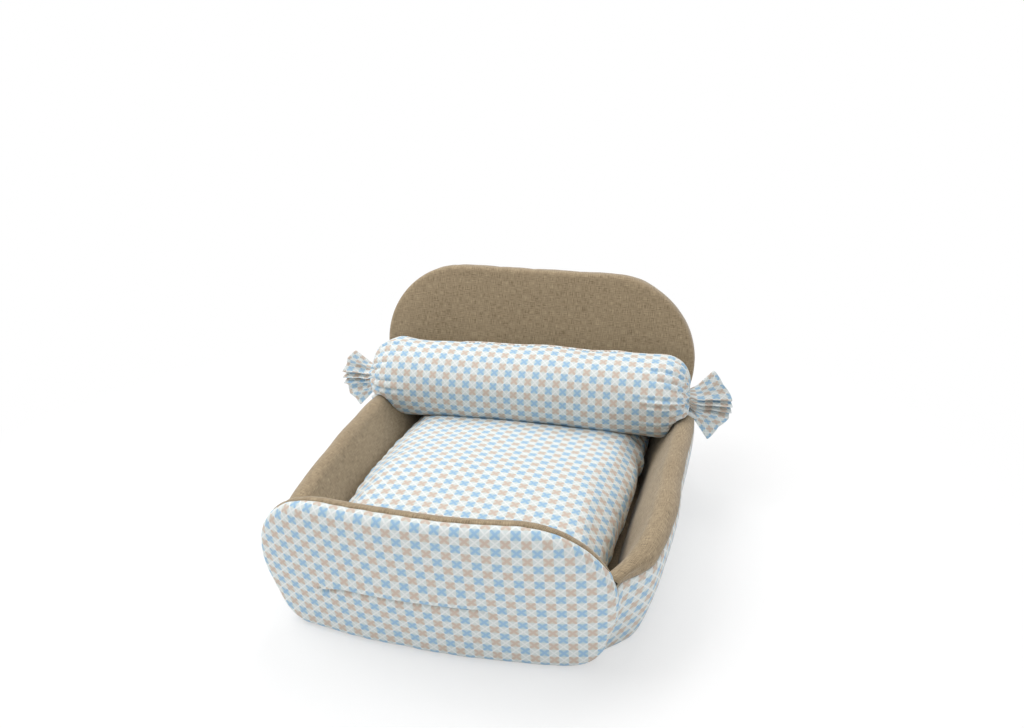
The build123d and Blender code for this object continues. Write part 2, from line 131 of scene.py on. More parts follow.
@dataclass(frozen=True)
class Finish:
    """A plain finish: one colour, its roughness and how metallic it is."""

    name: str
    colour: str
    roughness: float = 0.85
    metallic: float = 0.0
    sheen: float = 0.0
    fleck: float = 0.06
    fleck_size: float = 1.0 * MM

    def start(self) -> tuple[bpy.types.Material, bpy.types.NodeTree]:
        """Makes the material with its constants.

        Returns:
            The material, named for the finish, and its node tree.
        """
        material = bpy.data.materials.new(self.name)
        material.use_nodes = True
        inputs = material.node_tree.nodes["Principled BSDF"].inputs
        inputs["Base Color"].default_value = linear(self.colour)
        inputs["Roughness"].default_value = self.roughness
        inputs["Metallic"].default_value = self.metallic
        inputs["Sheen Weight"].default_value = self.sheen
        return material, material.node_tree

    @staticmethod
    def surface(
        tree: bpy.types.NodeTree, colour: bpy.types.NodeSocket, height: bpy.types.Node, strength: float, distance: float
    ) -> None:
        """Links the surface shader to its colour and to a bump.

        Args:
            tree: The material's node tree.
            colour: The colour's socket.
            height: The node that gives the bump its height.
            strength: The bump's strength, from 0 to 1.
            distance: The bump's depth.
        """
        shader = tree.nodes["Principled BSDF"]
        tree.links.new(colour, shader.inputs["Base Color"])
        bump = add_node(tree, "ShaderNodeBump", {"Height": height, "Strength": strength, "Distance": distance})
        tree.links.new(bump.outputs[0], shader.inputs["Normal"])

    def build(self) -> bpy.types.Material:
        """Makes the material, with fine flecks and a matching bump.

        Returns:
            The material.
        """
        material, tree = self.start()
        place = add_node(tree, "ShaderNodeTexCoord").outputs["Object"]
        fleck = add_node(tree, "ShaderNodeTexNoise", {"Vector": place, "Scale": 1 / self.fleck_size, "Detail": 2.0})
        share = add_node(tree, "ShaderNodeMapRange", {0: fleck, 3: 1 - self.fleck, 4: 1 + self.fleck})
        tone = add_node(tree, "ShaderNodeVectorMath", {0: linear(self.colour)[:3], "Scale": share}, operation="SCALE")
        self.surface(tree, tone.outputs[0], fleck, 0.2, 0.1 * MM)
        return material


@dataclass(frozen=True)
class CheckPrint(Finish):
    """Cotton poplin with a printed check: rows of blue and of tan crosses between white ones.

    The arms' half widths, their soft edge and the coloured cells' cut corner are shares of a cell.
    """

    sheen: float = 0.06
    blue: str = "9CBFDC"
    blue_pale: str = "BDD4DC"
    tan: str = "CEBCAE"
    tan_pale: str = "D5D2C8"
    white: str = "EBEEED"
    white_pale: str = "D7DEDD"
    arm: float = 0.21
    white_arm: float = 0.11
    soft: float = 0.09
    corner: float = 0.93

    def build(self) -> bpy.types.Material:
        """Makes the material from the piece's UV map, which holds real distances on the cloth.

        Returns:
            The material.
        """
        material, tree = self.start()
        place = add_node(tree, "ShaderNodeUVMap", uv_map="cloth")
        cells = add_node(tree, "ShaderNodeVectorMath", {0: place, "Scale": 1 / CELL}, operation="SCALE")
        whole = add_node(tree, "ShaderNodeVectorMath", {0: cells}, operation="FLOOR")
        column, row, _ = add_node(tree, "ShaderNodeSeparateXYZ", {0: whole}).outputs
        part = add_node(tree, "ShaderNodeVectorMath", {0: cells}, operation="FRACTION")
        part = add_node(tree, "ShaderNodeVectorMath", {0: part, 1: (0.5, 0.5, 0.5)}, operation="SUBTRACT")
        part = add_node(tree, "ShaderNodeVectorMath", {0: part}, operation="ABSOLUTE")
        beside, above, _ = add_node(tree, "ShaderNodeSeparateXYZ", {0: part}).outputs
        even = []
        for number in (add_node(tree, "ShaderNodeMath", {0: column, 1: row}, operation="ADD"), row):
            rest = add_node(tree, "ShaderNodeMath", {0: number, 1: 2.0}, operation="FLOORED_MODULO")
            even.append(add_node(tree, "ShaderNodeMath", {0: rest, 1: 0.5}, operation="LESS_THAN"))
        coloured, is_blue = even
        uneven = add_node(tree, "ShaderNodeMath", {0: beside, 1: above}, operation="SUBTRACT")
        off_diagonal = add_node(tree, "ShaderNodeMath", {0: uneven}, operation="ABSOLUTE")
        off_middle = add_node(tree, "ShaderNodeMath", {0: beside, 1: above}, operation="ADD")
        arm = add_node(
            tree, "ShaderNodeMath", {0: coloured, 1: self.arm - self.white_arm, 2: self.white_arm},
            operation="MULTIPLY_ADD",
        )
        within = []
        for value, limit in ((off_diagonal, arm), (off_middle, self.corner)):
            low = add_node(tree, "ShaderNodeMath", {0: limit, 1: self.soft}, operation="SUBTRACT")
            high = add_node(tree, "ShaderNodeMath", {0: limit, 1: self.soft}, operation="ADD")
            within.append(add_node(tree, "ShaderNodeMapRange", {0: value, 1: low, 2: high, 3: 1.0, 4: 0.0}))
        cross, inside = within
        inks = ("blue", "blue_pale", "tan", "tan_pale", "white", "white_pale")
        tones = {ink: linear(getattr(self, ink)) for ink in inks}
        for name, share, low, high in (
            ("strong", is_blue, "tan", "blue"),
            ("pale", is_blue, "tan_pale", "blue_pale"),
            ("crossed", cross, "pale", "strong"),
            ("printed", inside, "white", "crossed"),
            ("plain", cross, "white_pale", "white"),
            ("cloth", coloured, "plain", "printed"),
        ):
            mixed = add_node(tree, "ShaderNodeMix", {0: share, 6: tones[low], 7: tones[high]}, data_type="RGBA")
            tones[name] = mixed.outputs[2]
        # Twice the yarns' spacing, because the real one is too fine to show.
        scale = 1 / (2 * Weave.FINE.value)
        grain = add_node(tree, "ShaderNodeTexNoise", {"Vector": place, "Scale": scale, "Detail": 2.0})
        share = add_node(tree, "ShaderNodeMapRange", {0: grain, 3: 0.93, 4: 1.05})
        shaded = add_node(tree, "ShaderNodeVectorMath", {0: tones["cloth"], "Scale": share}, operation="SCALE")
        self.surface(tree, shaded.outputs[0], grain, 0.15, 0.15 * MM)
        return material


@dataclass(frozen=True)
class Linen(Finish):
    """Coarse linen-look upholstery weave: crossed threads of uneven thickness and tone."""

    sheen: float = 0.2
    dark: str = "77664D"
    light: str = "B6A283"
    weave: Weave = Weave.SLUBBY
    slub: float = 0.07
    patch: float = 60 * MM

    def build(self) -> bpy.types.Material:
        """Makes the material from the piece's UV map, with threads both ways.

        Returns:
            The material.
        """
        material, tree = self.start()
        place = add_node(tree, "ShaderNodeUVMap", uv_map="cloth")
        yarns = {}
        for way, stretch in enumerate(((self.slub, 1.0, 1.0), (1.0, self.slub, 1.0))):
            run = add_node(tree, "ShaderNodeMapping", {"Vector": place, "Scale": stretch})
            scale = 1 / self.weave.value
            yarns[way] = add_node(tree, "ShaderNodeTexNoise", {"Vector": run, "Scale": scale, "Detail": 1.5})
        both = add_node(tree, "ShaderNodeMath", yarns, operation="ADD")
        patch = add_node(tree, "ShaderNodeTexNoise", {"Vector": place, "Scale": 1 / self.patch, "Detail": 2.0})
        tone = add_node(tree, "ShaderNodeMath", {0: patch, 1: 0.15, 2: both}, operation="MULTIPLY_ADD")
        share = add_node(tree, "ShaderNodeMapRange", {0: tone, 1: 0.78, 2: 1.38})
        colour = add_node(
            tree, "ShaderNodeMix", {0: share, 6: linear(self.dark), 7: linear(self.light)}, data_type="RGBA"
        )
        self.surface(tree, colour.outputs[2], both, 0.35, 0.4 * MM)
        return material


# Cotton poplin printed by rotary screen: matt, crisp edges softened by the yarn.
POPLIN = CheckPrint("printed_cotton_poplin", "DDE6EC", 0.86)
# Linen-look upholstery weave: matt, with lighter and darker yarns that run both ways.
LINEN = Linen("linen_upholstery_weave", "8F7A5C", 0.9)
# Non-woven polypropylene under the bed: flat black, slightly shiny, pressed in dots.
UNDERCLOTH = Finish("nonwoven_polypropylene", "2B2926", 0.7, fleck=0.25)
# Cut polyurethane foam: matt cream, with open cells.
FOAM = Finish("polyurethane_foam", "E8E2CC", 0.95, fleck=0.12)
# Hollow polyester fibre: bright, matt.
FIBRE = Finish("polyester_fibre", "F1F1EE", 0.95)
# Covered elastic cord: matt, pale, ribbed by its yarn.
ELASTIC = Finish("covered_elastic", "C9BCA8", 0.8, fleck=0.15, fleck_size=0.5 * MM)
# Woven polyester zip tape: matt off-white.
TAPE = Finish("polyester_zip_tape", "DAD8D2", 0.85, fleck=0.1, fleck_size=0.4 * MM)
# Moulded acetal zip teeth: satin off-white.
ACETAL = Finish("acetal_teeth", "DDDBD6", 0.4, fleck=0.02)
# Nickel-plated zinc slider and stops: bright, smooth, faintly worn.
NICKEL = Finish("nickel_plated_zinc", "B9B6B0", 0.3, 1.0, fleck=0.05)
# Spun polyester sewing thread: tan, slightly bright.
THREAD = Finish("polyester_thread", "86705A", 0.6, fleck=0.2, fleck_size=0.3 * MM)


Finishes = tuple[bpy.types.Material, bpy.types.Material]


# Cloth meshes


def cloth_noise(points: np.ndarray, size: float, seed: float) -> np.ndarray:
    """Smooth noise from about -1 to 1 at each point.

    Args:
        points: Places, of shape (..., 3).
        size: Size of the noise's features.
        seed: Shifts the noise, so that pieces differ.

    Returns:
        One value for each point.
    """
    flat = points.reshape(-1, 3) / size + seed
    return np.array([noise.noise(Vector(p)) for p in flat]).reshape(points.shape[:-1])


@dataclass(frozen=True)
class Swells:
    """Smooth random swells of a cloth: their size, their height, and how fast they change along each axis."""

    size: float
    height: float
    seed: float = 0.0
    rate: tuple[float, float, float] = (1.0, 1.0, 1.0)

    def at(self, places: np.ndarray, seed: float) -> np.ndarray:
        """Their height at each place of a piece that has its own seed."""
        return cloth_noise(places * self.rate, self.size, seed + self.seed) * self.height


def smooth_step(low: float, high: float, value: np.ndarray) -> np.ndarray:
    """Rises smoothly from 0 at low to 1 at high."""
    share = np.clip((value - low) / (high - low), 0, 1)
    return share * share * (3 - 2 * share)


def bell(value: np.ndarray, width: float) -> np.ndarray:
    """Falls smoothly from 1 at 0 to nothing beyond twice the width."""
    return np.exp(-((value / width) ** 2))


def normals_of(points: np.ndarray, wrap: bool) -> np.ndarray:
    """Unit normals of a grid of points that point away from its middle.

    Args:
        points: The grid, of shape (rows, columns, 3).
        wrap: Whether the last column meets the first.

    Returns:
        The normals, in the grid's shape.
    """
    along = np.roll(points, -1, 1) - np.roll(points, 1, 1) if wrap else np.gradient(points, axis=1)
    normal = np.cross(np.gradient(points, axis=0), along)
    normal /= np.maximum(np.linalg.norm(normal, axis=-1, keepdims=True), 1e-12)
    middle = points.reshape(-1, 3).mean(0)
    return normal if ((points - middle) * normal).sum() > 0 else -normal


def along_grid(points: np.ndarray, axis: int) -> np.ndarray:
    """Distance along a grid's rows or columns from its first point.

    Args:
        points: The grid.
        axis: 0 down the rows or 1 along the columns.

    Returns:
        The distance at each grid point.
    """
    step = np.linalg.norm(np.diff(points, axis=axis), axis=-1)
    pad = [(0, 0), (0, 0)]
    pad[axis] = (1, 0)
    return np.cumsum(np.pad(step, pad), axis=axis)


def run_of(line: np.ndarray) -> np.ndarray:
    """Distance along a line of points from its first one."""
    return np.concatenate([[0], np.cumsum(np.linalg.norm(np.diff(line, axis=0), axis=1))])


def linked(name: str, data: bpy.types.ID) -> bpy.types.Object:
    """Makes an object of a mesh, a lamp or a camera, in the scene.

    Args:
        name: The object's name.
        data: What it holds.

    Returns:
        The new object.
    """
    made = bpy.data.objects.new(name, data)
    bpy.context.scene.collection.objects.link(made)
    return made


def link_mesh(name: str, mesh: bpy.types.Mesh, material: bpy.types.Material) -> bpy.types.Object:
    """Makes an object of a mesh, with its finish, in the scene."""
    mesh.materials.append(material)
    return linked(name, mesh)


def grid_object(
    name: str, points: np.ndarray, cloth: np.ndarray, wrap: bool, material: bpy.types.Material
) -> bpy.types.Object:
    """Makes a quad mesh from a grid of points, with real distances on the cloth as its UV map.

    Args:
        name: The object's name.
        points: Places, of shape (rows, columns, 3).
        cloth: Places on the flat cloth, of shape (rows, columns, 2), or one column more if wrap.
        wrap: Whether the last column meets the first.
        material: The finish.

    Returns:
        The new object, with its faces pointing outwards.
    """
    rows, columns = points.shape[:2]
    built = bmesh.new()
    layer = built.loops.layers.uv.new("cloth")
    vertices = [built.verts.new(p) for p in points.reshape(-1, 3)]
    for row in range(rows - 1):
        for column in range(columns if wrap else columns - 1):
            corners = [(row, column), (row, column + 1), (row + 1, column + 1), (row + 1, column)]
            face = built.faces.new([vertices[r * columns + c % columns] for r, c in corners])
            face.smooth = True
            for loop, (r, c) in zip(face.loops, corners):
                loop[layer].uv = cloth[r, c % cloth.shape[1]]
    bmesh.ops.remove_doubles(built, verts=built.verts, dist=WELD)
    mesh = bpy.data.meshes.new(name)
    built.to_mesh(mesh)
    built.free()
    return point_outwards(link_mesh(name, mesh, material), points.reshape(-1, 3).mean(0))


def point_outwards(piece: bpy.types.Object, middle: np.ndarray) -> bpy.types.Object:
    """Turns a piece's faces round if they point at a place inside it.

    Args:
        piece: The piece.
        middle: The place inside it.

    Returns:
        The same piece.
    """
    inside = Vector(middle)
    if sum((face.center - inside).dot(face.normal) * face.area for face in piece.data.polygons) < 0:
        piece.data.flip_normals()
    return piece


def applied(piece: bpy.types.Object) -> bpy.types.Object:
    """Turns a piece with its modifiers into a plain smooth mesh.

    Args:
        piece: The object.

    Returns:
        The same object, with no modifiers.
    """
    graph = bpy.context.evaluated_depsgraph_get()
    mesh = bpy.data.meshes.new_from_object(piece.evaluated_get(graph), preserve_all_data_layers=True, depsgraph=graph)
    old = piece.data
    piece.modifiers.clear()
    piece.data = mesh
    bpy.data.meshes.remove(old)
    mesh.polygons.foreach_set("use_smooth", [True] * len(mesh.polygons))
    return piece


def thickened(piece: bpy.types.Object, thickness: float = CLOTH) -> bpy.types.Object:
    """Gives an open cloth its thickness inwards, with closed edges.

    Args:
        piece: The cloth, whose faces point outwards.
        thickness: The cloth's thickness.

    Returns:
        The same object as a closed mesh.
    """
    wall = piece.modifiers.new("cloth", "SOLIDIFY")
    wall.thickness = thickness
    wall.offset = -1.0
    wall.use_even_offset = False
    wall.use_rim = True
    return applied(piece)


def surface_of(piece: bpy.types.Object) -> BVHTree:
    """A piece's surface, to find places on it."""
    mesh = piece.data
    return BVHTree.FromPolygons([v.co for v in mesh.vertices], [tuple(p.vertices) for p in mesh.polygons])


def give(piece: bpy.types.Object, body: str, slot: str, *nodes: str) -> bpy.types.Object:
    """Lets a piece ride on a body and take the place of the frame's nodes.

    Args:
        piece: The piece.
        body: The body it rides on.
        slot: Its material slot in the record. Not used.
        nodes: The frame's nodes that it replaces.

    Returns:
        The same piece.
    """
    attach(piece, body)
    if nodes:
        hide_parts(*nodes)
    log.info("%s: %d faces", piece.name, len(piece.data.polygons))
    return piece


def stretched(piece: bpy.types.Object, cloth: np.ndarray, foam: str, *others: bpy.types.Object) -> bpy.types.Object:
    """Hands back a thickened piece unchanged.

    Args:
        piece: The piece, with a surface on both sides of the cloth.
        cloth: Its places on the flat cloth. Not used.
        foam: The frame's node that it lies on. Not used.
        others: Pieces that go with it. Not used.

    Returns:
        The same piece.
    """
    return piece


def raised(places: np.ndarray, wrap: bool, lift: np.ndarray) -> tuple[np.ndarray, np.ndarray]:
    """Moves a cloth outwards by its relief and keeps it above the ground.

    Args:
        places: The smooth form, of shape (rows, columns, 3).
        wrap: Whether the last column meets the first.
        lift: Height of the relief at each place.

    Returns:
        The moved places, and the smooth form's normals.
    """
    outward = normals_of(places, wrap)
    places = places + outward * lift[..., None]
    places[..., 2] = np.maximum(places[..., 2], FLOOR)
    return places, outward


@dataclass
class PaddedShell:
    """A padded form of two cloths: print outside and linen inside, which meet along one row of its grid."""

    places: np.ndarray
    outward: np.ndarray
    outer_cloth: np.ndarray
    inner_cloth: np.ndarray
    seam: int
    wrap: bool

    def build(self, name: str, node: str, finishes: Finishes) -> tuple[bpy.types.Object, bpy.types.Object]:
        """Makes the two cloths.

        Args:
            name: Start of the pieces' names.
            node: Start of the names of the frame's nodes that they replace.
            finishes: Finish of the outer and of the inner cloth.

        Returns:
            The outer and the inner cloth.
        """
        seam, middle = self.seam, self.places.reshape(-1, 3).mean(0)
        inner = self.places[seam:].copy()
        inner[0] -= self.outward[seam] * SEAM_TUCK
        outer, outer_cloth = self.places[: seam + 1], self.outer_cloth[: seam + 1]
        pieces = (
            grid_object(f"{name}_print_cloth", outer, outer_cloth, self.wrap, finishes[0]),
            grid_object(f"{name}_linen_lining", inner, self.inner_cloth[seam:], self.wrap, finishes[1]),
        )
        cover, lining = (thickened(point_outwards(piece, middle)) for piece in pieces)
        give(cover, "bed", "check_print", f"{node}_cover")
        give(lining, "bed", "linen", f"{node}_lining", f"{node}_foam")
        return cover, lining


# Panels


@dataclass(frozen=True)
class Crease:
    """A shallow fold in a panel's outer cloth, at a place on its face, turned from level."""

    across: float
    up: float
    turn: float
    length: float
    width: float
    depth: float

    def dip(self, across: np.ndarray, up: np.ndarray) -> np.ndarray:
        """How deep the fold is at each place on the face.

        Args:
            across: Distance along the bow.
            up: Height along the lean.

        Returns:
            The depth at each place.
        """
        turn = radians(self.turn)
        along = (across - self.across) * cos(turn) + (up - self.up) * sin(turn)
        beside = (up - self.up) * cos(turn) - (across - self.across) * sin(turn)
        return self.depth * bell(along, self.length) * bell(beside, self.width)


@dataclass
class Panel:
    """A bowed, leaning, padded panel: print cloth outside, linen inside, sewn round its rim."""

    name: str
    facing: int
    foot_y: float
    lean: float
    bow_radius: float
    height: float
    half_width: float
    thickness: float
    shoulder_radius: float
    foot_radius: float
    taper: float
    seam_depth: float
    wall_top: float
    swell: float = 2.6 * MM
    tuck: float = 5.0 * MM
    tuck_height: float = 40 * MM
    step: float = 3.4 * MM
    edge_power: float = 2.3
    gather: float = 23 * MM
    seed: float = 1.0
    shift: float = 0.0
    slope: float = 0.0
    spine: tuple[tuple[float, float], ...] = ((-0.1, 0.14), (0.1, 0.14))
    slit: tuple[float, float] = (0.0, 0.0)
    # Depth, height above the slit and width of the groove under it and of the swell over it.
    slit_groove: tuple[float, float, float] = (6.5 * MM, -2.8 * MM, 3.4 * MM)
    slit_brow: tuple[float, float, float] = (-1.6 * MM, 9 * MM, 8 * MM)
    creases: tuple[Crease, ...] = ()
    # The seam: its groove, and the beads of cloth gathered in a strip behind it, from edge to edge.
    groove: tuple[float, float] = (0.8 * MM, 2.5 * MM)
    bead_height: float = 1.2 * MM
    bead_power: float = 0.4
    bead_start: tuple[float, float] = (-1 * MM, 1.5 * MM)
    bead_stop: tuple[float, float] = (7 * MM, 13 * MM)
    # The cloth's unevenness: all over, near the foot, near the seam, and in the beads' spacing.
    broad: Swells = Swells(90 * MM, 1.3 * MM, 5)
    low_swells: Swells = Swells(24 * MM, 0.9 * MM, 9, (1.0, 1.0, 0.35))
    crimp: Swells = Swells(13 * MM, 0.5 * MM)
    drift: Swells = Swells(60 * MM, 0.35)
    # How the grid's rows are spread.
    rim_rows: int = 17
    swell_reach: float = 22 * MM
    even_share: float = 0.85
    spine_share: float = 0.42
    crowding: float = 1.7

    def half_outline(self) -> np.ndarray:
        """Draws the right half of the panel's outline.

        Returns:
            Its points as (across, up), from the top's middle to the foot's middle.
        """
        tilt = radians(self.taper)
        shoulder = np.array([self.half_width - self.shoulder_radius, self.height - self.shoulder_radius])
        turn = np.linspace(pi / 2, -tilt, 60)
        arc = shoulder + self.shoulder_radius * np.stack([np.cos(turn), np.sin(turn)], 1)
        run = (arc[-1, 1] - self.foot_radius * (1 - sin(tilt))) / cos(tilt)
        end = arc[-1] + run * np.array([-sin(tilt), -cos(tilt)])
        center = end + self.foot_radius * np.array([-cos(tilt), sin(tilt)])
        sweep = np.linspace(-tilt, -pi / 2, 30)
        foot = center + self.foot_radius * np.stack([np.cos(sweep), np.sin(sweep)], 1)
        return np.concatenate([[[0, self.height]], arc, foot, [[0, 0]]])

    def outline(self) -> tuple[np.ndarray, np.ndarray]:
        """The panel's outline on its face, evenly spaced.

        Returns:
            The outline's points and its outward normals, each of shape (count, 2).
        """
        half = self.half_outline()
        loop = np.concatenate([half, half[::-1][1:-1] * [-1, 1], half[:1]])
        run = run_of(loop)
        places = np.linspace(0, run[-1], int(run[-1] / self.step), endpoint=False)
        even = np.stack([np.interp(places, run, loop[:, k]) for k in (0, 1)], 1)
        tangent = np.roll(even, -2, 0) - np.roll(even, 2, 0)
        normal = np.stack([-tangent[:, 1], tangent[:, 0]], 1)
        normal /= np.linalg.norm(normal, axis=1, keepdims=True)
        return even, normal if normal[0, 1] > 0 else -normal

    def end_x(self, side: int, up: np.ndarray) -> np.ndarray:
        """How far to a side the panel's middle layer reaches.

        Args:
            side: 1 for the right end and -1 for the left.
            up: Heights.

        Returns:
            The distance from the bed's middle at each height.
        """
        half = self.half_outline()[::-1]
        angle = np.interp(up, half[:, 1], half[:, 0]) / self.bow_radius
        return side * self.shift + (self.bow_radius - self.thickness / 2) * np.sin(angle)

    def place(self, across: np.ndarray, up: np.ndarray, depth: np.ndarray) -> np.ndarray:
        """Carries panel coordinates to the bed.

        Args:
            across: Distance along the bow.
            up: Height along the lean.
            depth: Depth inwards from the outer face.

        Returns:
            The places in the bed's frame.
        """
        angle = across / self.bow_radius
        radius = self.bow_radius - depth
        inward = self.bow_radius - radius * np.cos(angle)
        lean = radians(self.lean)
        y = self.foot_y + self.facing * (up * sin(lean) - inward * cos(lean))
        level = inward * sin(lean) * smooth_step(0, 60 * MM, up)
        level = level - self.slope * across * up / self.height
        return np.stack([self.shift + radius * np.sin(angle), y, up * cos(lean) + level], -1)

    def middle_y(self, x: np.ndarray, z: np.ndarray) -> np.ndarray:
        """Where the panel's middle layer lies.

        Args:
            x: Places across the bed.
            z: Heights.

        Returns:
            The layer's y at each of them.
        """
        radius = self.bow_radius - self.thickness / 2
        inward = self.bow_radius - np.sqrt(radius**2 - np.minimum(np.abs(x - self.shift), 0.9 * radius) ** 2)
        lean = radians(self.lean)
        up = (z - inward * sin(lean)) / cos(lean)
        return self.foot_y + self.facing * (up * sin(lean) - inward * cos(lean))

    def rim(self, turn: np.ndarray) -> tuple[np.ndarray, np.ndarray]:
        """The soft rim's section.

        Args:
            turn: Angle round the rim, from the outer face to the inner one.

        Returns:
            The distance in from the outline, and the depth from the outer face.
        """
        power = 2 / self.edge_power
        half = self.thickness / 2
        inset = half * (1 - np.abs(np.cos(turn)) ** power)
        return inset, half * (1 + np.sign(np.sin(turn)) * np.abs(np.sin(turn)) ** power)

    def seam_turns(self, edge: np.ndarray) -> np.ndarray:
        """Where round the rim the seam lies: on the crest, and at the inner face beside the walls.

        Args:
            edge: The outline's points.

        Returns:
            The angle at each point.
        """
        beside = 1 - smooth_step(self.wall_top - 14 * MM, self.wall_top + 6 * MM, edge[:, 1])
        depth = self.seam_depth + (0.97 * self.thickness - self.seam_depth) * beside
        share = 2 * depth / self.thickness - 1
        return np.arcsin(np.sign(share) * np.abs(share) ** (self.edge_power / 2))

    def face_rings(self, edge: np.ndarray, normal: np.ndarray) -> list[tuple[np.ndarray, float]]:
        """Rings of a face from the rim to a line along its middle.

        Args:
            edge: The outline's points.
            normal: Its outward normals.

        Returns:
            The rings, each with its distance in from the outline.
        """
        deep = self.foot_radius * self.even_share
        inner = edge - normal * deep
        grid = 1.25 * self.step
        reach = (self.half_width - self.height * self.spine_share) / (self.half_width - deep)
        line = np.array(self.spine)
        across = np.round(inner[:, 0] * reach / grid) * grid
        spine = np.stack([across, np.interp(across, line[:, 0], line[:, 1])], 1)
        count = int(np.linalg.norm(inner - spine, axis=1).max() / (0.9 * self.step))
        made = [(edge - normal * away, away) for away in np.arange(self.thickness / 2 + self.step, deep, self.step)]
        for share in 1 - np.linspace(1, 0, count) ** self.crowding:
            made.append((inner * (1 - share) + spine * share, deep + share * self.height * 0.3))
        return made

    def rings(self) -> tuple[np.ndarray, np.ndarray, list[np.ndarray], int]:
        """Rings from the middle of the outer face over the rim to the middle of the inner face.

        Returns:
            Each point's (across, up), its depth, its place on the outer and on the inner cloth, and the seam's ring.
        """
        edge, normal = self.outline()
        half = self.thickness / 2
        share = np.linspace(-1, 1, self.rim_rows)[:, None]
        seam = self.seam_turns(edge)[None, :]
        turns = seam + share * np.where(share < 0, seam + pi / 2, pi / 2 - seam)
        inset, depth = self.rim(turns)
        table = np.linspace(-pi / 2, pi / 2, 400)
        run = run_of(np.stack(self.rim(table), 1))
        around = np.interp(turns, table, run)
        faces = self.face_rings(edge, normal)
        swelling = [self.swell * (1 - np.exp(-(distance - half) / self.swell_reach)) for _, distance in faces]
        full = np.ones(len(edge))
        rows = [ring for ring, _ in reversed(faces)]
        depths = [-swell * full for swell in reversed(swelling)]
        rows += [edge - normal * row[:, None] for row in inset]
        depths += list(depth)
        rows += [ring for ring, _ in faces]
        depths += [(self.thickness + swell) * full for swell in swelling]
        grid, deep = np.array(rows), np.array(depths)
        rim = np.s_[len(faces) : len(faces) + len(around)]
        cloths = [grid.copy(), grid.copy()]
        cloths[0][rim] = edge - normal * (half - around[..., None])
        cloths[1][rim] = edge - normal * (half - run[-1] + around[..., None])
        low = np.clip(1 - grid[..., 1] / self.tuck_height, 0, 1) ** 2
        deep += self.tuck * low * np.clip(1 - deep / self.thickness, 0, 1)
        return grid, deep, cloths, len(faces) + self.rim_rows // 2

    def relief(self, rows: np.ndarray, depths: np.ndarray, places: np.ndarray) -> np.ndarray:
        """How far the cloth stands out from the smooth form.

        Args:
            rows: Each point's (across, up).
            depths: Each point's depth.
            places: Each point's place in the bed.

        Returns:
            The height of the relief at each point.
        """
        across, up = rows[..., 0], rows[..., 1]
        crest = smooth_step(self.wall_top, self.wall_top + 25 * MM, up)
        behind = depths - self.seam_depth
        strip = smooth_step(*self.bead_start, behind) * (1 - smooth_step(*self.bead_stop, behind)) * crest
        phase = across / self.gather + self.drift.at(places, self.seed)
        beads = self.bead_height * (np.abs(np.sin(pi * phase)) ** self.bead_power - 1)
        groove = self.groove[0] * bell(behind, self.groove[1]) * crest
        fine = self.crimp.at(places, self.seed) * bell(behind, 8 * MM) * crest
        broad = self.broad.at(places, self.seed)
        soft = self.low_swells.at(places, self.seed) * (1 - smooth_step(0, 0.35 * self.height, up))
        outer = 1 - smooth_step(0, 4 * MM, depths)
        dips = sum((crease.dip(across, up) for crease in self.creases), np.zeros_like(across))
        line = np.array(self.spine)
        above = up - np.interp(across, line[:, 0], line[:, 1])
        ends = smooth_step(0, 12 * MM, np.minimum(across - self.slit[0], self.slit[1] - across))
        for depth, height, width in (self.slit_groove, self.slit_brow):
            dips = dips + ends * depth * bell(above - height, width)
        return broad + fine + soft + strip * beads - groove - dips * outer

    def build(self, finishes: Finishes) -> None:
        """Makes the panel's two cloths, and the lap over its slit if it has one.

        Args:
            finishes: Finish of the outer and of the inner cloth.
        """
        rows, depths, cloths, seam = self.rings()
        smooth = self.place(rows[..., 0], rows[..., 1], depths)
        places, outward = raised(smooth, True, self.relief(rows, depths, smooth))
        outer, inner = (cloth * [-self.facing, 1] for cloth in cloths)
        shell = PaddedShell(places, outward, outer, inner, seam, True)
        cover, lining = shell.build(self.name, self.name, finishes)
        stretched(lining, inner[seam:], f"{self.name}_foam")
        lap = [LappedSlit(self).build(cover, finishes[0])] if self.slit[1] > self.slit[0] else []
        stretched(cover, outer[: seam + 1], f"{self.name}_foam", *lap)


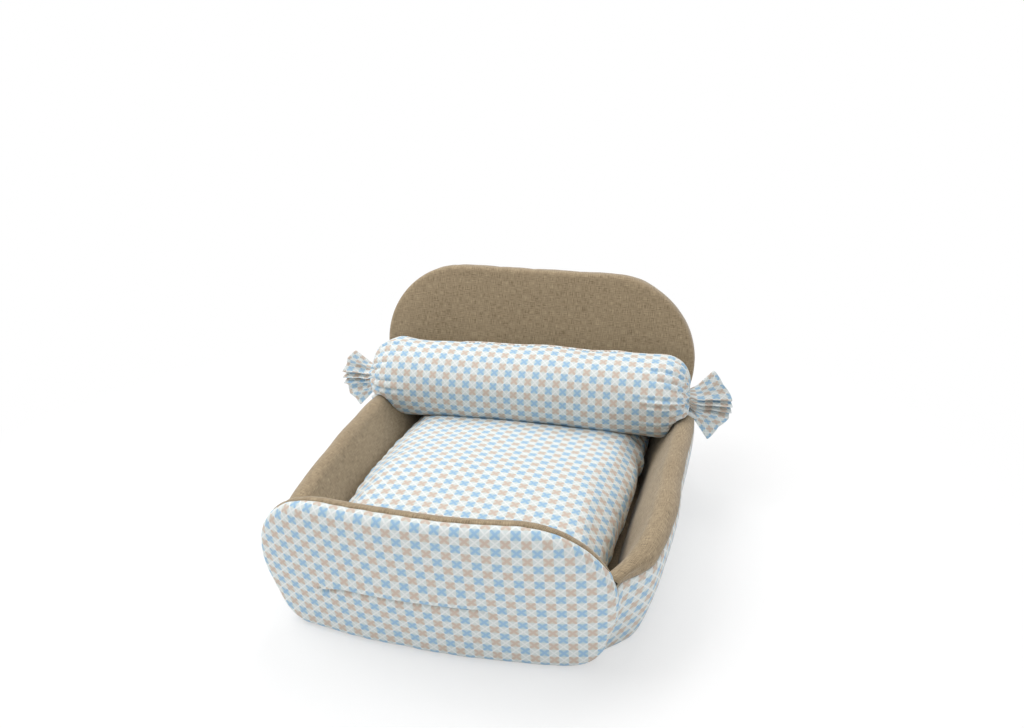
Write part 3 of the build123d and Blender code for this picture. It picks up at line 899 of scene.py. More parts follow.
@dataclass
class LappedSlit:
    """The front panel's concealed opening: the upper cloth laps over the lower one.

    The fold's section is in pairs: millimetres above the slit's line, and a share of how far it stands out.
    """

    panel: Panel
    stand: float = 2.3 * MM
    sink: float = 1.0 * MM
    thickness: float = 0.7 * MM
    fade: float = 14 * MM
    step: float = 1.5 * MM
    base: float = 3.5
    fold: tuple[tuple[float, float], ...] = (
        (3.5, -1.3), (1.6, -0.9), (0.2, -0.5), (-0.9, -0.1), (-1.3, 0.4), (-0.6, 0.8), (0.8, 0.9), (2.5, 0.7),
        (5.0, 0.35), (8.0, 0.1), (12.0, -0.3),
    )

    def build(self, cover: bpy.types.Object, print_cloth: bpy.types.Material) -> bpy.types.Object:
        """Makes the lap on the panel's cloth, with the print running on over it.

        Args:
            cover: The panel's outer cloth.
            print_cloth: Finish of the cloth.

        Returns:
            The lap.
        """
        surface = surface_of(cover)
        line = np.array(self.panel.spine)
        across = np.arange(*self.panel.slit, self.step)
        ends = smooth_step(0, self.fade, np.minimum(across - across[0], across[-1] - across))
        base = np.interp(across, line[:, 0], line[:, 1])
        base = np.convolve(np.pad(base, 4, "edge"), np.ones(9) / 9, "valid")
        places, cloths = [], []
        for rise, stand in self.fold:
            up = base + rise * MM
            met = base + max(rise, self.base) * MM
            outside = self.panel.place(across, met, np.full(len(across), -30 * MM))
            inside = self.panel.place(across, met, np.full(len(across), 10 * MM))
            down = self.panel.place(across, up, 0 * up) - self.panel.place(across, met, 0 * up)
            row = []
            for start, aim, fall, end in zip(outside, inside, down, ends):
                way = Vector(aim - start).normalized()
                found = surface.ray_cast(Vector(start), way)[0] + Vector(fall)
                row.append(found - way * (self.stand * stand * end - self.sink * (1 - end)))
            places.append(row)
            cloths.append(np.stack([across, up], 1))
        lap = grid_object("front_slit_lap", np.array(places), np.array(cloths), False, print_cloth)
        lap = thickened(point_outwards(lap, np.array([0, 0, self.panel.height / 2])), self.thickness)
        return give(lap, "bed", "check_print")


# Side walls


def side_name(side: int) -> str:
    """The name of a side: 1 is right and -1 left."""
    return "right" if side > 0 else "left"


@dataclass
class SideWall:
    """A leaning padded wall that bulges along an arc, from the front panel to the back panel."""

    side: int
    front: Panel
    back: Panel
    crest: tuple[tuple[float, float], ...]
    heights: tuple[tuple[float, float], ...]
    foot_inset: float
    thickness: float
    swell: float
    seam_angle: float
    seam_drop: float
    wedge: float = 20 * MM
    foot_curl: float = 5 * MM
    seam_groove: float = 0.8 * MM
    puffs: Swells = Swells(70 * MM, 2.2 * MM)
    crimp: Swells = Swells(16 * MM, 0.7 * MM, 4, (1.0, 0.5, 1.0))
    rows: tuple[int, int] = (28, 44)
    step: float = 4.0 * MM
    seed: float = 3.0

    @staticmethod
    def curve(points: tuple[tuple[float, float], ...], y: np.ndarray) -> np.ndarray:
        """A smooth curve through points, each a place along the bed and a value."""
        places, values = np.array(points).T
        return np.polyval(np.polyfit(places, values, len(points) - 1), y)

    def inner_x(self, y: np.ndarray, z: np.ndarray) -> np.ndarray:
        """How far out the wall's inner face lies.

        Args:
            y: Places along the bed.
            z: Heights.

        Returns:
            The distance from the bed's middle at each of them.
        """
        share = np.clip(z / self.curve(self.heights, y), 0, 1)
        swell = self.swell * np.sin(pi * share)
        return self.curve(self.crest, y) - self.thickness - (self.foot_inset + self.wedge) * (1 - share) - swell

    def section(self) -> tuple[np.ndarray, np.ndarray, float]:
        """Draws the wall's section, from the outer foot over the crest to the inner foot.

        Returns:
            Fine points as (outwards from the outer crest, up), the distance to each, and that to the crest's top.
        """
        half = self.thickness / 2
        height = self.curve(self.heights, 0.0)
        center = np.array([-half, height - half])
        base = np.array([-half - self.foot_inset, FLOOR])
        up = (center - base) / np.linalg.norm(center - base)
        out = np.array([up[1], -up[0]])
        share = np.linspace(0, 1, 90)[:, None]
        swell = self.swell * np.sin(pi * share) ** 0.8
        outer = base + out * half + (center - base) * share + out * (swell - self.foot_curl * np.exp(-share / 0.06))
        crest = np.linspace(pi / 2, -pi / 2, 41)[1:-1]
        top = center + half * (np.cos(crest)[:, None] * up + np.sin(crest)[:, None] * out)
        foot = base - np.array([self.wedge, 0])
        inner = (foot - out * half + (center - foot) * share - out * swell)[::-1]
        line = np.concatenate([outer, top, inner])
        run = run_of(line)
        return line, run, float(run[len(outer) + len(crest) // 2])

    def grid(self) -> tuple[np.ndarray, np.ndarray]:
        """Carries the section along the wall, from the front panel's middle layer to the back one's.

        Returns:
            The grid's places, and each one's distance round the section from the seam.
        """
        line, run, top = self.section()
        half, height = self.thickness / 2, self.curve(self.heights, 0.0)
        start, stop = self.crest[0][0], self.crest[-1][0]
        share = np.linspace(0, 1, int((stop - start) / self.step))[None, :]
        seam = top - half * radians(self.seam_angle) - self.seam_drop * (1 - smooth_step(0, 0.22, share))
        outer, inner = self.rows
        steps = np.linspace(0, 1, outer)[:, None], np.linspace(0, 1, inner)[1:, None]
        arc = np.concatenate([seam * steps[0], seam + (run[-1] - seam) * steps[1]])
        out, up = (np.interp(arc, run, line[:, axis]) for axis in (0, 1))
        y = start + (stop - start) * share + 0 * arc
        for _ in range(4):
            x = self.curve(self.crest, y) + out
            z = up * self.curve(self.heights, y) / height
            front = self.front.middle_y(self.side * x, z)
            y = front + (self.back.middle_y(self.side * x, z) - front) * share
        meet = self.front.end_x(self.side, z) - 1.5 * MM
        outside = 1 - smooth_step(top - 1.4 * half, top - 0.3 * half, arc)
        near = 1 - smooth_step(0, 45 * MM, y - front)
        x = x + np.clip(meet - x, -20 * MM, 20 * MM) * outside * near
        return np.stack([self.side * x, y, np.maximum(z, FLOOR)], -1), arc - seam

    def build(self, finishes: Finishes) -> None:
        """Makes the wall's two cloths.

        Args:
            finishes: Finish of the outer and of the inner cloth.
        """
        smooth, beside = self.grid()
        near_seam = bell(beside, 5 * MM)
        small = self.crimp.at(smooth, self.seed) * near_seam
        lift = self.puffs.at(smooth, self.seed) + small - near_seam * self.seam_groove
        places, outward = raised(smooth, False, lift)
        cloth = np.stack([along_grid(places, 1) + places[:, :1, 1], beside], -1)
        seam, name = self.rows[0] - 1, side_name(self.side)
        shell = PaddedShell(places, outward, cloth, cloth, seam, False)
        cover, lining = shell.build(f"{name}_wall", name, finishes)
        stretched(cover, cloth[: seam + 1], f"{name}_foam")
        stretched(lining, cloth[seam:], f"{name}_foam")


@dataclass
class FloorCloth:
    """A flat cloth between the four walls, rounded at its corners."""

    name: str
    wall: SideWall
    inset: float
    height: float
    middle_y: float = 7 * MM
    columns: int = 144
    rows: int = 30
    thickness: float = 0.8 * MM
    waves: Swells = Swells(45 * MM, 0.5 * MM, 31)

    def build(self, material: bpy.types.Material) -> bpy.types.Object:
        """Makes the cloth.

        Args:
            material: Its finish.

        Returns:
            The cloth, as a closed mesh.
        """
        turn = np.linspace(0, 2 * pi, self.columns, endpoint=False)
        reach = np.linspace(0, 0.4, 801)[None, :]
        x, y = reach * np.cos(turn)[:, None], self.middle_y + reach * np.sin(turn)[:, None]
        level = np.full_like(x, self.height)
        half = self.wall.inner_x(y, 0 * y) + self.wall.thickness / 2 + self.wall.wedge
        room = np.minimum(half - np.abs(x), y - self.wall.front.middle_y(x, level))
        room = np.minimum(room, self.wall.back.middle_y(x, level) - y) > self.inset
        radius = reach[0, room.argmin(1) - 1]
        radius = np.convolve(np.concatenate([radius[-5:], radius, radius[:5]]), np.ones(11) / 11, "valid")
        share = np.linspace(0, 1, self.rows)[:, None]
        flat = np.stack([share * radius * np.cos(turn), self.middle_y + share * radius * np.sin(turn)], -1)
        places = np.concatenate([flat, np.full((*flat.shape[:2], 1), self.height)], -1)
        places[..., 2] += self.waves.at(places, 0.0) + self.waves.height
        cloth = thickened(grid_object(self.name, places, flat, True, material), self.thickness)
        point_outwards(cloth, np.array([0, self.middle_y, self.height - self.thickness / 2]))
        return stretched(cloth, flat, "base_foam")


# Cushion


def crowded(count: int, share: float) -> np.ndarray:
    """Values from -1 to 1 that crowd towards both ends by a share."""
    return share * np.sin(np.linspace(-pi / 2, pi / 2, count)) + (1 - share) * np.linspace(-1, 1, count)


@dataclass
class SeatCushion:
    """A stuffed cushion of two print cloths sewn round the edge, puffed up by simulation.

    The notch and the flare of its side are a place, a width, both as shares of the half length, and a
    depth. The bolster that lies on it is a place along the bed, a height and a radius.
    """

    length: float
    half_widths: tuple[float, float, float]
    middle_y: float
    seam_z: float
    top_z: float
    floor_z: float
    bolster: tuple[float, float, float]
    walls: list[SideWall]
    columns: int = 84
    rows: int = 100
    power: float = 5.5
    fall: float = 13 * MM
    ear: float = 5 * MM
    notch: tuple[float, float, float] = (0.50, 0.045, 4.5 * MM)
    flare: tuple[float, float, float] = (0.62, 0.05, 4.0 * MM)
    corner_pull: float = 0.02
    roundness: float = 2.3
    crown: float = 0.20
    # Of the seam's line: how far it strays, how often, and over what length that changes.
    wobble: tuple[float, float, float] = (1.6 * MM, 7 * MM, 19 * MM)
    # Of the tucks along the seam: their depth, how often they come, and over what length that changes.
    tucks: tuple[float, float, float] = (2.2 * MM, 4.25 * MM, 31 * MM)
    wrinkles: Swells = Swells(34 * MM, 1.3 * MM, 1, (1.0, 0.55, 1.0))
    broad: Swells = Swells(120 * MM, 2.5 * MM, 3)
    pressure: float = 4.0
    shrink: tuple[float, float] = (-0.04, 0.01)
    cap: float = 6 * MM
    seam_band: float = 22 * MM
    seam_weld: float = 0.05 * MM
    frames: int = 20
    bolster_gap: float = 1.5 * MM
    bolster_half: float = 205 * MM
    wall_gap: float = 1 * MM
    seed: float = 11.0

    def half_width(self, share: np.ndarray) -> np.ndarray:
        """The seam's half width at a share of the half length."""
        front, middle, back = self.half_widths
        return front * share * (share - 1) / 2 + middle * (1 - share * share) + back * share * (share + 1) / 2

    def half(self, side: int) -> tuple[np.ndarray, np.ndarray]:
        """One cloth of the cushion.

        Args:
            side: 1 for the top and -1 for the underside.

        Returns:
            Its places and its places on the flat cloth.
        """
        s, t = np.meshgrid(crowded(self.columns, 0.6), crowded(self.rows, 0.55))
        wide = self.half_width(t)
        ears = bell(1 - np.abs(t), 0.13) * bell(1 - np.abs(s), 0.2)
        pull = 1 - self.corner_pull * (1 - (s * t) ** 6)
        bumps = self.flare[2] * bell(t - self.flare[0], self.flare[1])
        bumps = (bumps - self.notch[2] * bell(t - self.notch[0], self.notch[1])) * np.where(s > 0, 1, 0.4)
        y = self.middle_y + t * self.length / 2 * pull
        stray, often, slow = self.wobble
        wobble = stray * np.sin(y / often + 2.5 * np.sin(y / slow)) * np.abs(s) ** 12
        x = wide * s * pull + np.sign(s) * (np.abs(s) ** 6 * (bumps + self.ear * ears) + wobble)
        full = ((1 - np.abs(s) ** self.power) * (1 - np.abs(t) ** self.power)) ** (1 / self.roundness)
        crown = 1 - self.crown + self.crown * (1 - s * s) * (1 - 0.6 * t * t)
        height = (self.top_z - self.seam_z) if side > 0 else (self.seam_z - self.floor_z)
        height = height - (self.fall * smooth_step(-0.3, 0.7, t) if side > 0 else 0)
        z = self.seam_z + side * height * full * (crown if side > 0 else 1)
        places = np.stack([x, y, z], -1)
        if side > 0:
            to_side, to_end = (1 - np.abs(s)) * wide, (1 - np.abs(t)) * self.length / 2
            places = self.wrinkled(places, np.minimum(to_side, to_end), np.where(to_side < to_end, y, x))
        return places, np.stack([self.centred(places, 1), self.centred(places, 0)], -1)

    def wrinkled(self, places: np.ndarray, edge: np.ndarray, run: np.ndarray) -> np.ndarray:
        """Adds the top cloth's swells and wrinkles, and the tucks along its seam.

        Args:
            places: The smooth cloth.
            edge: Each place's distance from the nearest seam.
            run: Its place along that seam.

        Returns:
            The wrinkled cloth's places.
        """
        outward = normals_of(places, False)
        outward *= np.sign(outward[..., 2].sum())
        deep, often, slow = self.tucks
        tucks = deep * np.sin(run / often + 2.2 * np.sin(run / slow)) * np.exp(-edge / (15 * MM))
        fade = smooth_step(0, 4 * MM, edge)
        lift = (self.broad.at(places, self.seed) + self.wrinkles.at(places, self.seed) + tucks) * fade
        return places + outward * lift[..., None]

    @staticmethod
    def centred(places: np.ndarray, axis: int) -> np.ndarray:
        """Distance along the cloth from its middle line."""
        run = along_grid(places, axis)
        return run - np.take(run, [run.shape[axis] // 2], axis)

    def kept_clear(self, places: np.ndarray) -> np.ndarray:
        """Keeps the cloth off the floor and the walls, and presses it down where the bolster lies on it.

        Args:
            places: The cloth's places, which are changed.

        Returns:
            The same places.
        """
        y, z, radius = self.bolster
        reach = radius + self.bolster_gap
        away = places[..., 1] - y
        under = z - np.sqrt(np.maximum(reach * reach - away * away, 0))
        hit = (np.abs(away) < reach) & (np.abs(places[..., 0]) < self.bolster_half)
        places[..., 2] = np.where(hit, np.minimum(places[..., 2], under), places[..., 2])
        for wall in self.walls:
            room = wall.inner_x(places[..., 1], places[..., 2]) - self.wall_gap
            places[..., 0] = wall.side * np.minimum(wall.side * places[..., 0], room)
        places[..., 2] = np.maximum(places[..., 2], self.floor_z)
        return places

    def puff(self, piece: bpy.types.Object) -> None:
        """Blows the sewn cushion up a little, so that its cloth tightens and puckers at the seam.

        Args:
            piece: The cushion, whose mesh is changed.
        """
        mesh = piece.data
        start = np.array([v.co for v in mesh.vertices])
        share = (start[:, 1] - self.middle_y) / (self.length / 2)
        to_side = self.half_width(np.clip(share, -1, 1)) - np.abs(start[:, 0])
        to_end = self.length / 2 - np.abs(start[:, 1] - self.middle_y)
        near = np.clip(1 - np.minimum(to_side, to_end) / self.seam_band, 0, 1)
        group = piece.vertex_groups.new(name="seam")
        for index, weight in enumerate(near):
            group.add([index], float(weight), "REPLACE")
        cloth = piece.modifiers.new("puff", "CLOTH")
        settings = cloth.settings
        settings.quality = 5
        settings.mass = 0.2
        settings.tension_stiffness = settings.compression_stiffness = 12
        settings.bending_stiffness = 0.2
        settings.use_pressure = True
        settings.uniform_pressure_force = self.pressure
        settings.vertex_group_shrink = group.name
        settings.shrink_min, settings.shrink_max = self.shrink
        settings.effector_weights.gravity = 0
        cloth.point_cache.frame_start, cloth.point_cache.frame_end = 1, self.frames
        scene = bpy.context.scene
        for frame in range(1, self.frames + 1):
            scene.frame_set(frame)
        graph = bpy.context.evaluated_depsgraph_get()
        puffed = piece.evaluated_get(graph).to_mesh()
        moved = np.array([v.co for v in puffed.vertices]) - start
        piece.modifiers.clear()
        scene.frame_set(1)
        length = np.linalg.norm(moved, axis=1, keepdims=True)
        places = start + moved * np.minimum(1, self.cap / np.maximum(length, 1e-9))
        log.info("cushion puffed, median move %.1f mm", float(np.median(length)) / MM)
        mesh.vertices.foreach_set("co", self.kept_clear(places).ravel())
        mesh.update()

    def build(self, print_cloth: bpy.types.Material) -> None:
        """Makes the cushion as one closed piece.

        Args:
            print_cloth: Finish of the cloth.
        """
        (top, flat_top), (under, flat_under) = self.half(1), self.half(-1)
        for line in (np.s_[0, :], np.s_[-1, :], np.s_[:, 0], np.s_[:, -1]):
            under[line] = top[line]
        centre = np.array([0, self.middle_y, self.seam_z])
        built = bmesh.new()
        for name, places, flat in (("cushion_top_cloth", top, flat_top), ("cushion_under_cloth", under, flat_under)):
            half = grid_object(name, self.kept_clear(places), flat, False, print_cloth)
            built.from_mesh(point_outwards(half, centre).data)
            bpy.data.objects.remove(half)
        bmesh.ops.remove_doubles(built, verts=built.verts, dist=self.seam_weld)
        mesh = bpy.data.meshes.new("seat_cushion")
        built.to_mesh(mesh)
        built.free()
        piece = link_mesh("seat_cushion", mesh, print_cloth)
        self.puff(piece)
        smoother = piece.modifiers.new("smooth", "SUBSURF")
        smoother.levels = smoother.render_levels = 1
        applied(piece)
        give(piece, "cushion", "check_print", "cushion_cover", "cushion_filling")


# Bolster


@dataclass(frozen=True)
class Fan:
    """The spread of one tail: angles at its corners, and its reach from the top to the bottom.

    Each pleat is a share of the way round from the top, and how far it stands to the front or the back.
    """

    upper: float
    lower: float
    reach: tuple[float, ...]
    pleats: tuple[tuple[float, float], ...]


@dataclass(frozen=True)
class Gather:
    """A fold that runs from the neck along the bolster's end, at an angle from the top."""

    angle: float
    start: float
    depth: float
    width: float = 2.2 * MM


@dataclass
class Bolster:
    """A stuffed bolster whose cloth is gathered to a neck at each end and fans out beyond it."""

    y: float
    z: float
    radius: float
    half_body: float
    bulge: float
    neck: float
    neck_radius: float
    fans: dict[int, Fan]
    folds: dict[int, tuple[Gather, ...]]
    lap_angle: float
    lap: tuple[float, float]
    walls: list[SideWall]
    droop: float = 5 * MM
    lap_height: float = 1.9 * MM
    lap_fade: float = 18 * MM
    end_radius: float = 26 * MM
    layer_gap: float = 1.3 * MM
    # How a tail's cloth bunches round the neck: shares of the way round, and of the fan's angle.
    bunching: tuple[tuple[float, ...], tuple[float, ...]] = ((0, 0.34, 0.70, 1), (0, 0.42, 0.63, 1))
    wide: Swells = Swells(65 * MM, 2.4 * MM)
    small: Swells = Swells(26 * MM, 1.3 * MM, 2, (0.6, 1.0, 1.0))
    flutter: Swells = Swells(17 * MM, 1.2 * MM, 7)
    # Each row of stitches: its name, and how far in front of the lap's edge it lies.
    stitches: tuple[tuple[str, float], ...] = (("bolster_lap_stitches", 1.7 * MM), ("bolster_edge_stitches", -6 * MM))
    stitch_margin: float = 10 * MM
    around: int = 240
    seed: float = 21.0

    def turns(self) -> np.ndarray:
        """Angles round the bolster from its top to its front, starting at the lap."""
        return radians(-self.lap_angle) + np.linspace(0, 2 * pi, self.around, endpoint=False)

    def profile(self) -> np.ndarray:
        """Draws the bolster's line from one neck to the other.

        Returns:
            Its points as (along, radius).
        """
        lip = self.neck - 6 * MM
        turn = np.linspace(0, pi / 2, 20)
        fat = self.end_radius
        dome = np.stack([
            self.half_body + (self.bulge - self.half_body) * np.sin(turn), fat + (self.radius - fat) * np.cos(turn)
        ], 1)
        fold = np.stack([
            lip + (self.bulge - lip) * np.cos(turn[1:]), fat - (fat - self.neck_radius) * np.sin(turn[1:])
        ], 1)
        tube = np.array([[self.neck - 3 * MM, self.neck_radius], [self.neck, self.neck_radius]])
        end = np.concatenate([dome[1:], fold, tube])
        body = np.linspace(-self.half_body, self.half_body, 100)
        middle = np.stack([body, np.full(100, self.radius)], 1)
        return np.concatenate([end[::-1] * [-1, 1], middle, end])

    def body(self) -> tuple[np.ndarray, np.ndarray]:
        """The round body.

        Returns:
            Its places and the distance along its cloth at each row.
        """
        line = self.profile()
        theta = self.turns()[None, :]
        along, radius = line[:, :1], line[:, 1:]
        slope = np.gradient(line, axis=0)
        slope /= np.linalg.norm(slope, axis=1, keepdims=True)
        out_x, out_r = -slope[:, 1:], slope[:, :1]
        radial = np.stack([0 * theta, -np.sin(theta), np.cos(theta)], -1)
        places = radius[..., None] * radial + np.stack([along, 0 * along, 0 * along], -1)
        lift = self.wide.at(places, self.seed) + self.small.at(places, self.seed)
        lift = lift * smooth_step(12 * MM, 40 * MM, radius)
        for side, gathers in self.folds.items():
            for fold in gathers:
                arc = (theta - radians(fold.angle) + pi) % (2 * pi) - pi
                reach = np.where(side * along > 0, smooth_step(fold.start, fold.start + 28 * MM, side * along), 0)
                beside = arc * np.maximum(radius, 16 * MM)
                lift = lift - fold.depth * reach * (bell(beside, fold.width) - 0.35 * bell(beside, 4 * fold.width))
        arc = (theta + radians(self.lap_angle)) * self.radius
        arc = np.where(arc > pi * self.radius, arc - 2 * pi * self.radius, arc)
        lapped = smooth_step(0, 12 * MM, np.minimum(along - self.lap[0], self.lap[1] - along))
        over = np.where(arc < -0.1 * MM, np.clip(1 + arc / self.lap_fade, 0, 1), 0)
        lift = lift + self.lap_height * lapped * over
        places = places + lift[..., None] * (out_x[..., None] * [1, 0, 0] + out_r[..., None] * radial)
        run = run_of(line)
        return places + [0, self.y, self.z], run - run[-1] / 2

    def tail(self, side: int, rows: int = 30) -> tuple[np.ndarray, np.ndarray]:
        """One tail, from the neck to its rim, closed at the rim by a line between its two layers.

        Args:
            side: 1 for the right end and -1 for the left.
            rows: How many rows it gets.

        Returns:
            Its places and the distance along its cloth at each row.
        """
        fan = self.fans[side]
        theta = (self.turns() + pi) % (2 * pi) - pi
        share = np.abs(theta) / pi
        layer = np.where(theta > 0, -1.0, 1.0)
        keys = np.array(fan.pleats)
        bunched = np.interp(share, *self.bunching)
        angle = np.radians(fan.upper + (fan.lower - fan.upper) * bunched)
        reach = np.interp(bunched, np.linspace(0, 1, len(fan.reach)), fan.reach)
        zigzag = np.interp(share, keys[:, 0], keys[:, 1])
        reach = reach * (1 - 0.03 * zigzag / np.abs(keys[:, 1]).max())
        out = np.linspace(0, 1, rows)[1:, None]
        flat = smooth_step(0.16, 0.55, out)
        x = self.neck + out * reach * np.cos(angle)
        z = out * reach * np.sin(angle) + self.neck_radius * np.cos(theta) * (1 - out)
        z = z - self.droop * smooth_step(0, 0.4, out)
        y = -self.neck_radius * np.sin(theta) * (1 - flat) + layer * flat * self.layer_gap
        y = y + zigzag * (0.25 + 0.75 * smooth_step(0.02, 0.5, out)) * (1 - 0.35 * smooth_step(0.6, 1, out))
        waves = self.flutter.at(np.stack([x, 0 * x + side, z], -1), self.seed)
        places = np.stack([side * x, y + waves * flat + self.y, z + self.z], -1)
        mirror = (int(round(2 * self.lap_angle * self.around / 360)) - np.arange(self.around)) % self.around
        rim = (places[-1] + places[-1][mirror]) / 2
        return np.concatenate([places, rim[None]]), np.append(out[:, 0], 1.0) * float(np.mean(reach))

    def over_walls(self, places: np.ndarray) -> np.ndarray:
        """Lifts the bolster's ends off the walls that they rest on.

        Args:
            places: The bolster's places, which are changed.

        Returns:
            The same places.
        """
        for wall in self.walls:
            y = places[..., 1]
            top_x = wall.curve(wall.crest, y) - wall.thickness / 2
            top_z = wall.curve(wall.heights, y) - wall.thickness / 2
            foot = np.stack([top_x - wall.foot_inset, 0 * top_z], -1)
            line = np.stack([top_x, top_z], -1) - foot
            here = np.stack([places[..., 0] * wall.side, places[..., 2]], -1)
            share = np.clip(((here - foot) * line).sum(-1) / (line * line).sum(-1), 0, 1)
            away = here - foot - line * share[..., None]
            distance = np.linalg.norm(away, axis=-1)
            room = wall.thickness / 2 + 3 * MM + wall.swell * np.sin(pi * share) ** 0.8
            direction = away / np.maximum(distance, 1e-9)[..., None] + np.array([0.0, 0.8])
            direction /= np.linalg.norm(direction, axis=-1, keepdims=True)
            lift = direction * (np.maximum(room - distance, 0) * 1.15)[..., None]
            places[..., 0] += wall.side * lift[..., 0]
            places[..., 2] += lift[..., 1]
        return places

    def build(self, print_cloth: bpy.types.Material, thread: bpy.types.Material) -> None:
        """Makes the bolster's cover, with its tails and the stitches along its lap.

        Args:
            print_cloth: Finish of the cover.
            thread: Finish of the stitches.
        """
        body, run = self.body()
        body = self.over_walls(body)
        (left, left_run), (right, right_run) = self.tail(-1), self.tail(1)
        places = np.concatenate([left[::-1], body, right])
        along = np.concatenate([run[0] - left_run[::-1], run, run[-1] + right_run])
        arc = np.linspace(0, 2 * pi, self.around + 1) * self.radius
        cloth = np.stack(np.broadcast_arrays(along[:, None], arc[None, :]), -1)
        cover = grid_object("bolster_print_cover", places, cloth, True, print_cloth)
        give(cover, "bolster", "check_print", "bolster_cover", "bolster_filling")
        surface = surface_of(cover)
        start, stop = self.lap[0] + self.stitch_margin, self.lap[1] - self.stitch_margin
        for name, beside in self.stitches:
            turn = beside / self.radius - radians(self.lap_angle)
            way = Vector((0, -sin(turn), cos(turn)))
            outside = [Vector((x, self.y, self.z)) + way * 1.6 * self.radius for x in np.arange(start, stop, 3 * MM)]
            path = [surface.ray_cast(place, -way)[0] for place in outside]
            give(StitchRow().build(name, path, thread), "bolster", "tie_cord")


@dataclass
class StitchRow:
    """A row of thread stitches along a path, made by a Geometry Nodes tree."""

    pitch: float = 6.0 * MM
    length: float = 4.2 * MM
    # Half the thread's thickness as drawn. It's coarser than real thread, which would be too fine to show.
    width: float = 0.45 * MM

    def tree(self, thread: bpy.types.Material) -> tuple[bpy.types.NodeTree, dict[str, str]]:
        """Makes the tree.

        Args:
            thread: Finish of the stitches.

        Returns:
            The tree, and the identifier of each of its inputs.
        """
        tree = bpy.data.node_groups.new("stitch_row", "GeometryNodeTree")
        tree.interface.new_socket("Path", in_out="INPUT", socket_type="NodeSocketGeometry")
        named = {}
        for label in ("Pitch", "Length", "Width"):
            socket = tree.interface.new_socket(label, in_out="INPUT", socket_type="NodeSocketFloat")
            named[label] = socket.identifier
        tree.interface.new_socket("Stitches", in_out="OUTPUT", socket_type="NodeSocketGeometry")
        given = add_node(tree, "NodeGroupInput").outputs
        curve = add_node(tree, "GeometryNodeMeshToCurve", {0: given["Path"]})
        spots = add_node(
            tree, "GeometryNodeCurveToPoints", {"Curve": curve, "Length": given["Pitch"]}, mode="LENGTH"
        ).outputs
        turned = add_node(tree, "FunctionNodeAlignRotationToVector", {"Vector": spots["Tangent"]}, axis="Z")
        half = add_node(tree, "ShaderNodeMath", {0: given["Length"], 1: 0.5}, operation="MULTIPLY")
        size = add_node(tree, "ShaderNodeCombineXYZ", {0: given["Width"], 1: given["Width"], 2: half})
        bead = add_node(tree, "GeometryNodeMeshUVSphere", {"Segments": 8, "Rings": 6, "Radius": 1.0})
        row = add_node(
            tree, "GeometryNodeInstanceOnPoints",
            {"Points": spots["Points"], "Instance": bead, "Rotation": turned, "Scale": size},
        )
        real = add_node(tree, "GeometryNodeRealizeInstances", {0: row})
        dressed = add_node(tree, "GeometryNodeSetMaterial", {"Geometry": real, "Material": thread})
        add_node(tree, "NodeGroupOutput", {0: dressed})
        return tree, named

    def build(self, name: str, path: list[Vector], thread: bpy.types.Material) -> bpy.types.Object:
        """Makes the stitches.

        Args:
            name: The object's name.
            path: Points on the cloth that the row follows.
            thread: Finish of the stitches.

        Returns:
            The stitches, as a plain mesh.
        """
        mesh = bpy.data.meshes.new(name)
        mesh.from_pydata(path, [(k, k + 1) for k in range(len(path) - 1)], [])
        piece = link_mesh(name, mesh, thread)
        tree, named = self.tree(thread)
        modifier = piece.modifiers.new("stitches", "NODES")
        modifier.node_group = tree
        for label, value in (("Pitch", self.pitch), ("Length", self.length), ("Width", self.width)):
            modifier[named[label]] = value
        return applied(piece)


# Studio


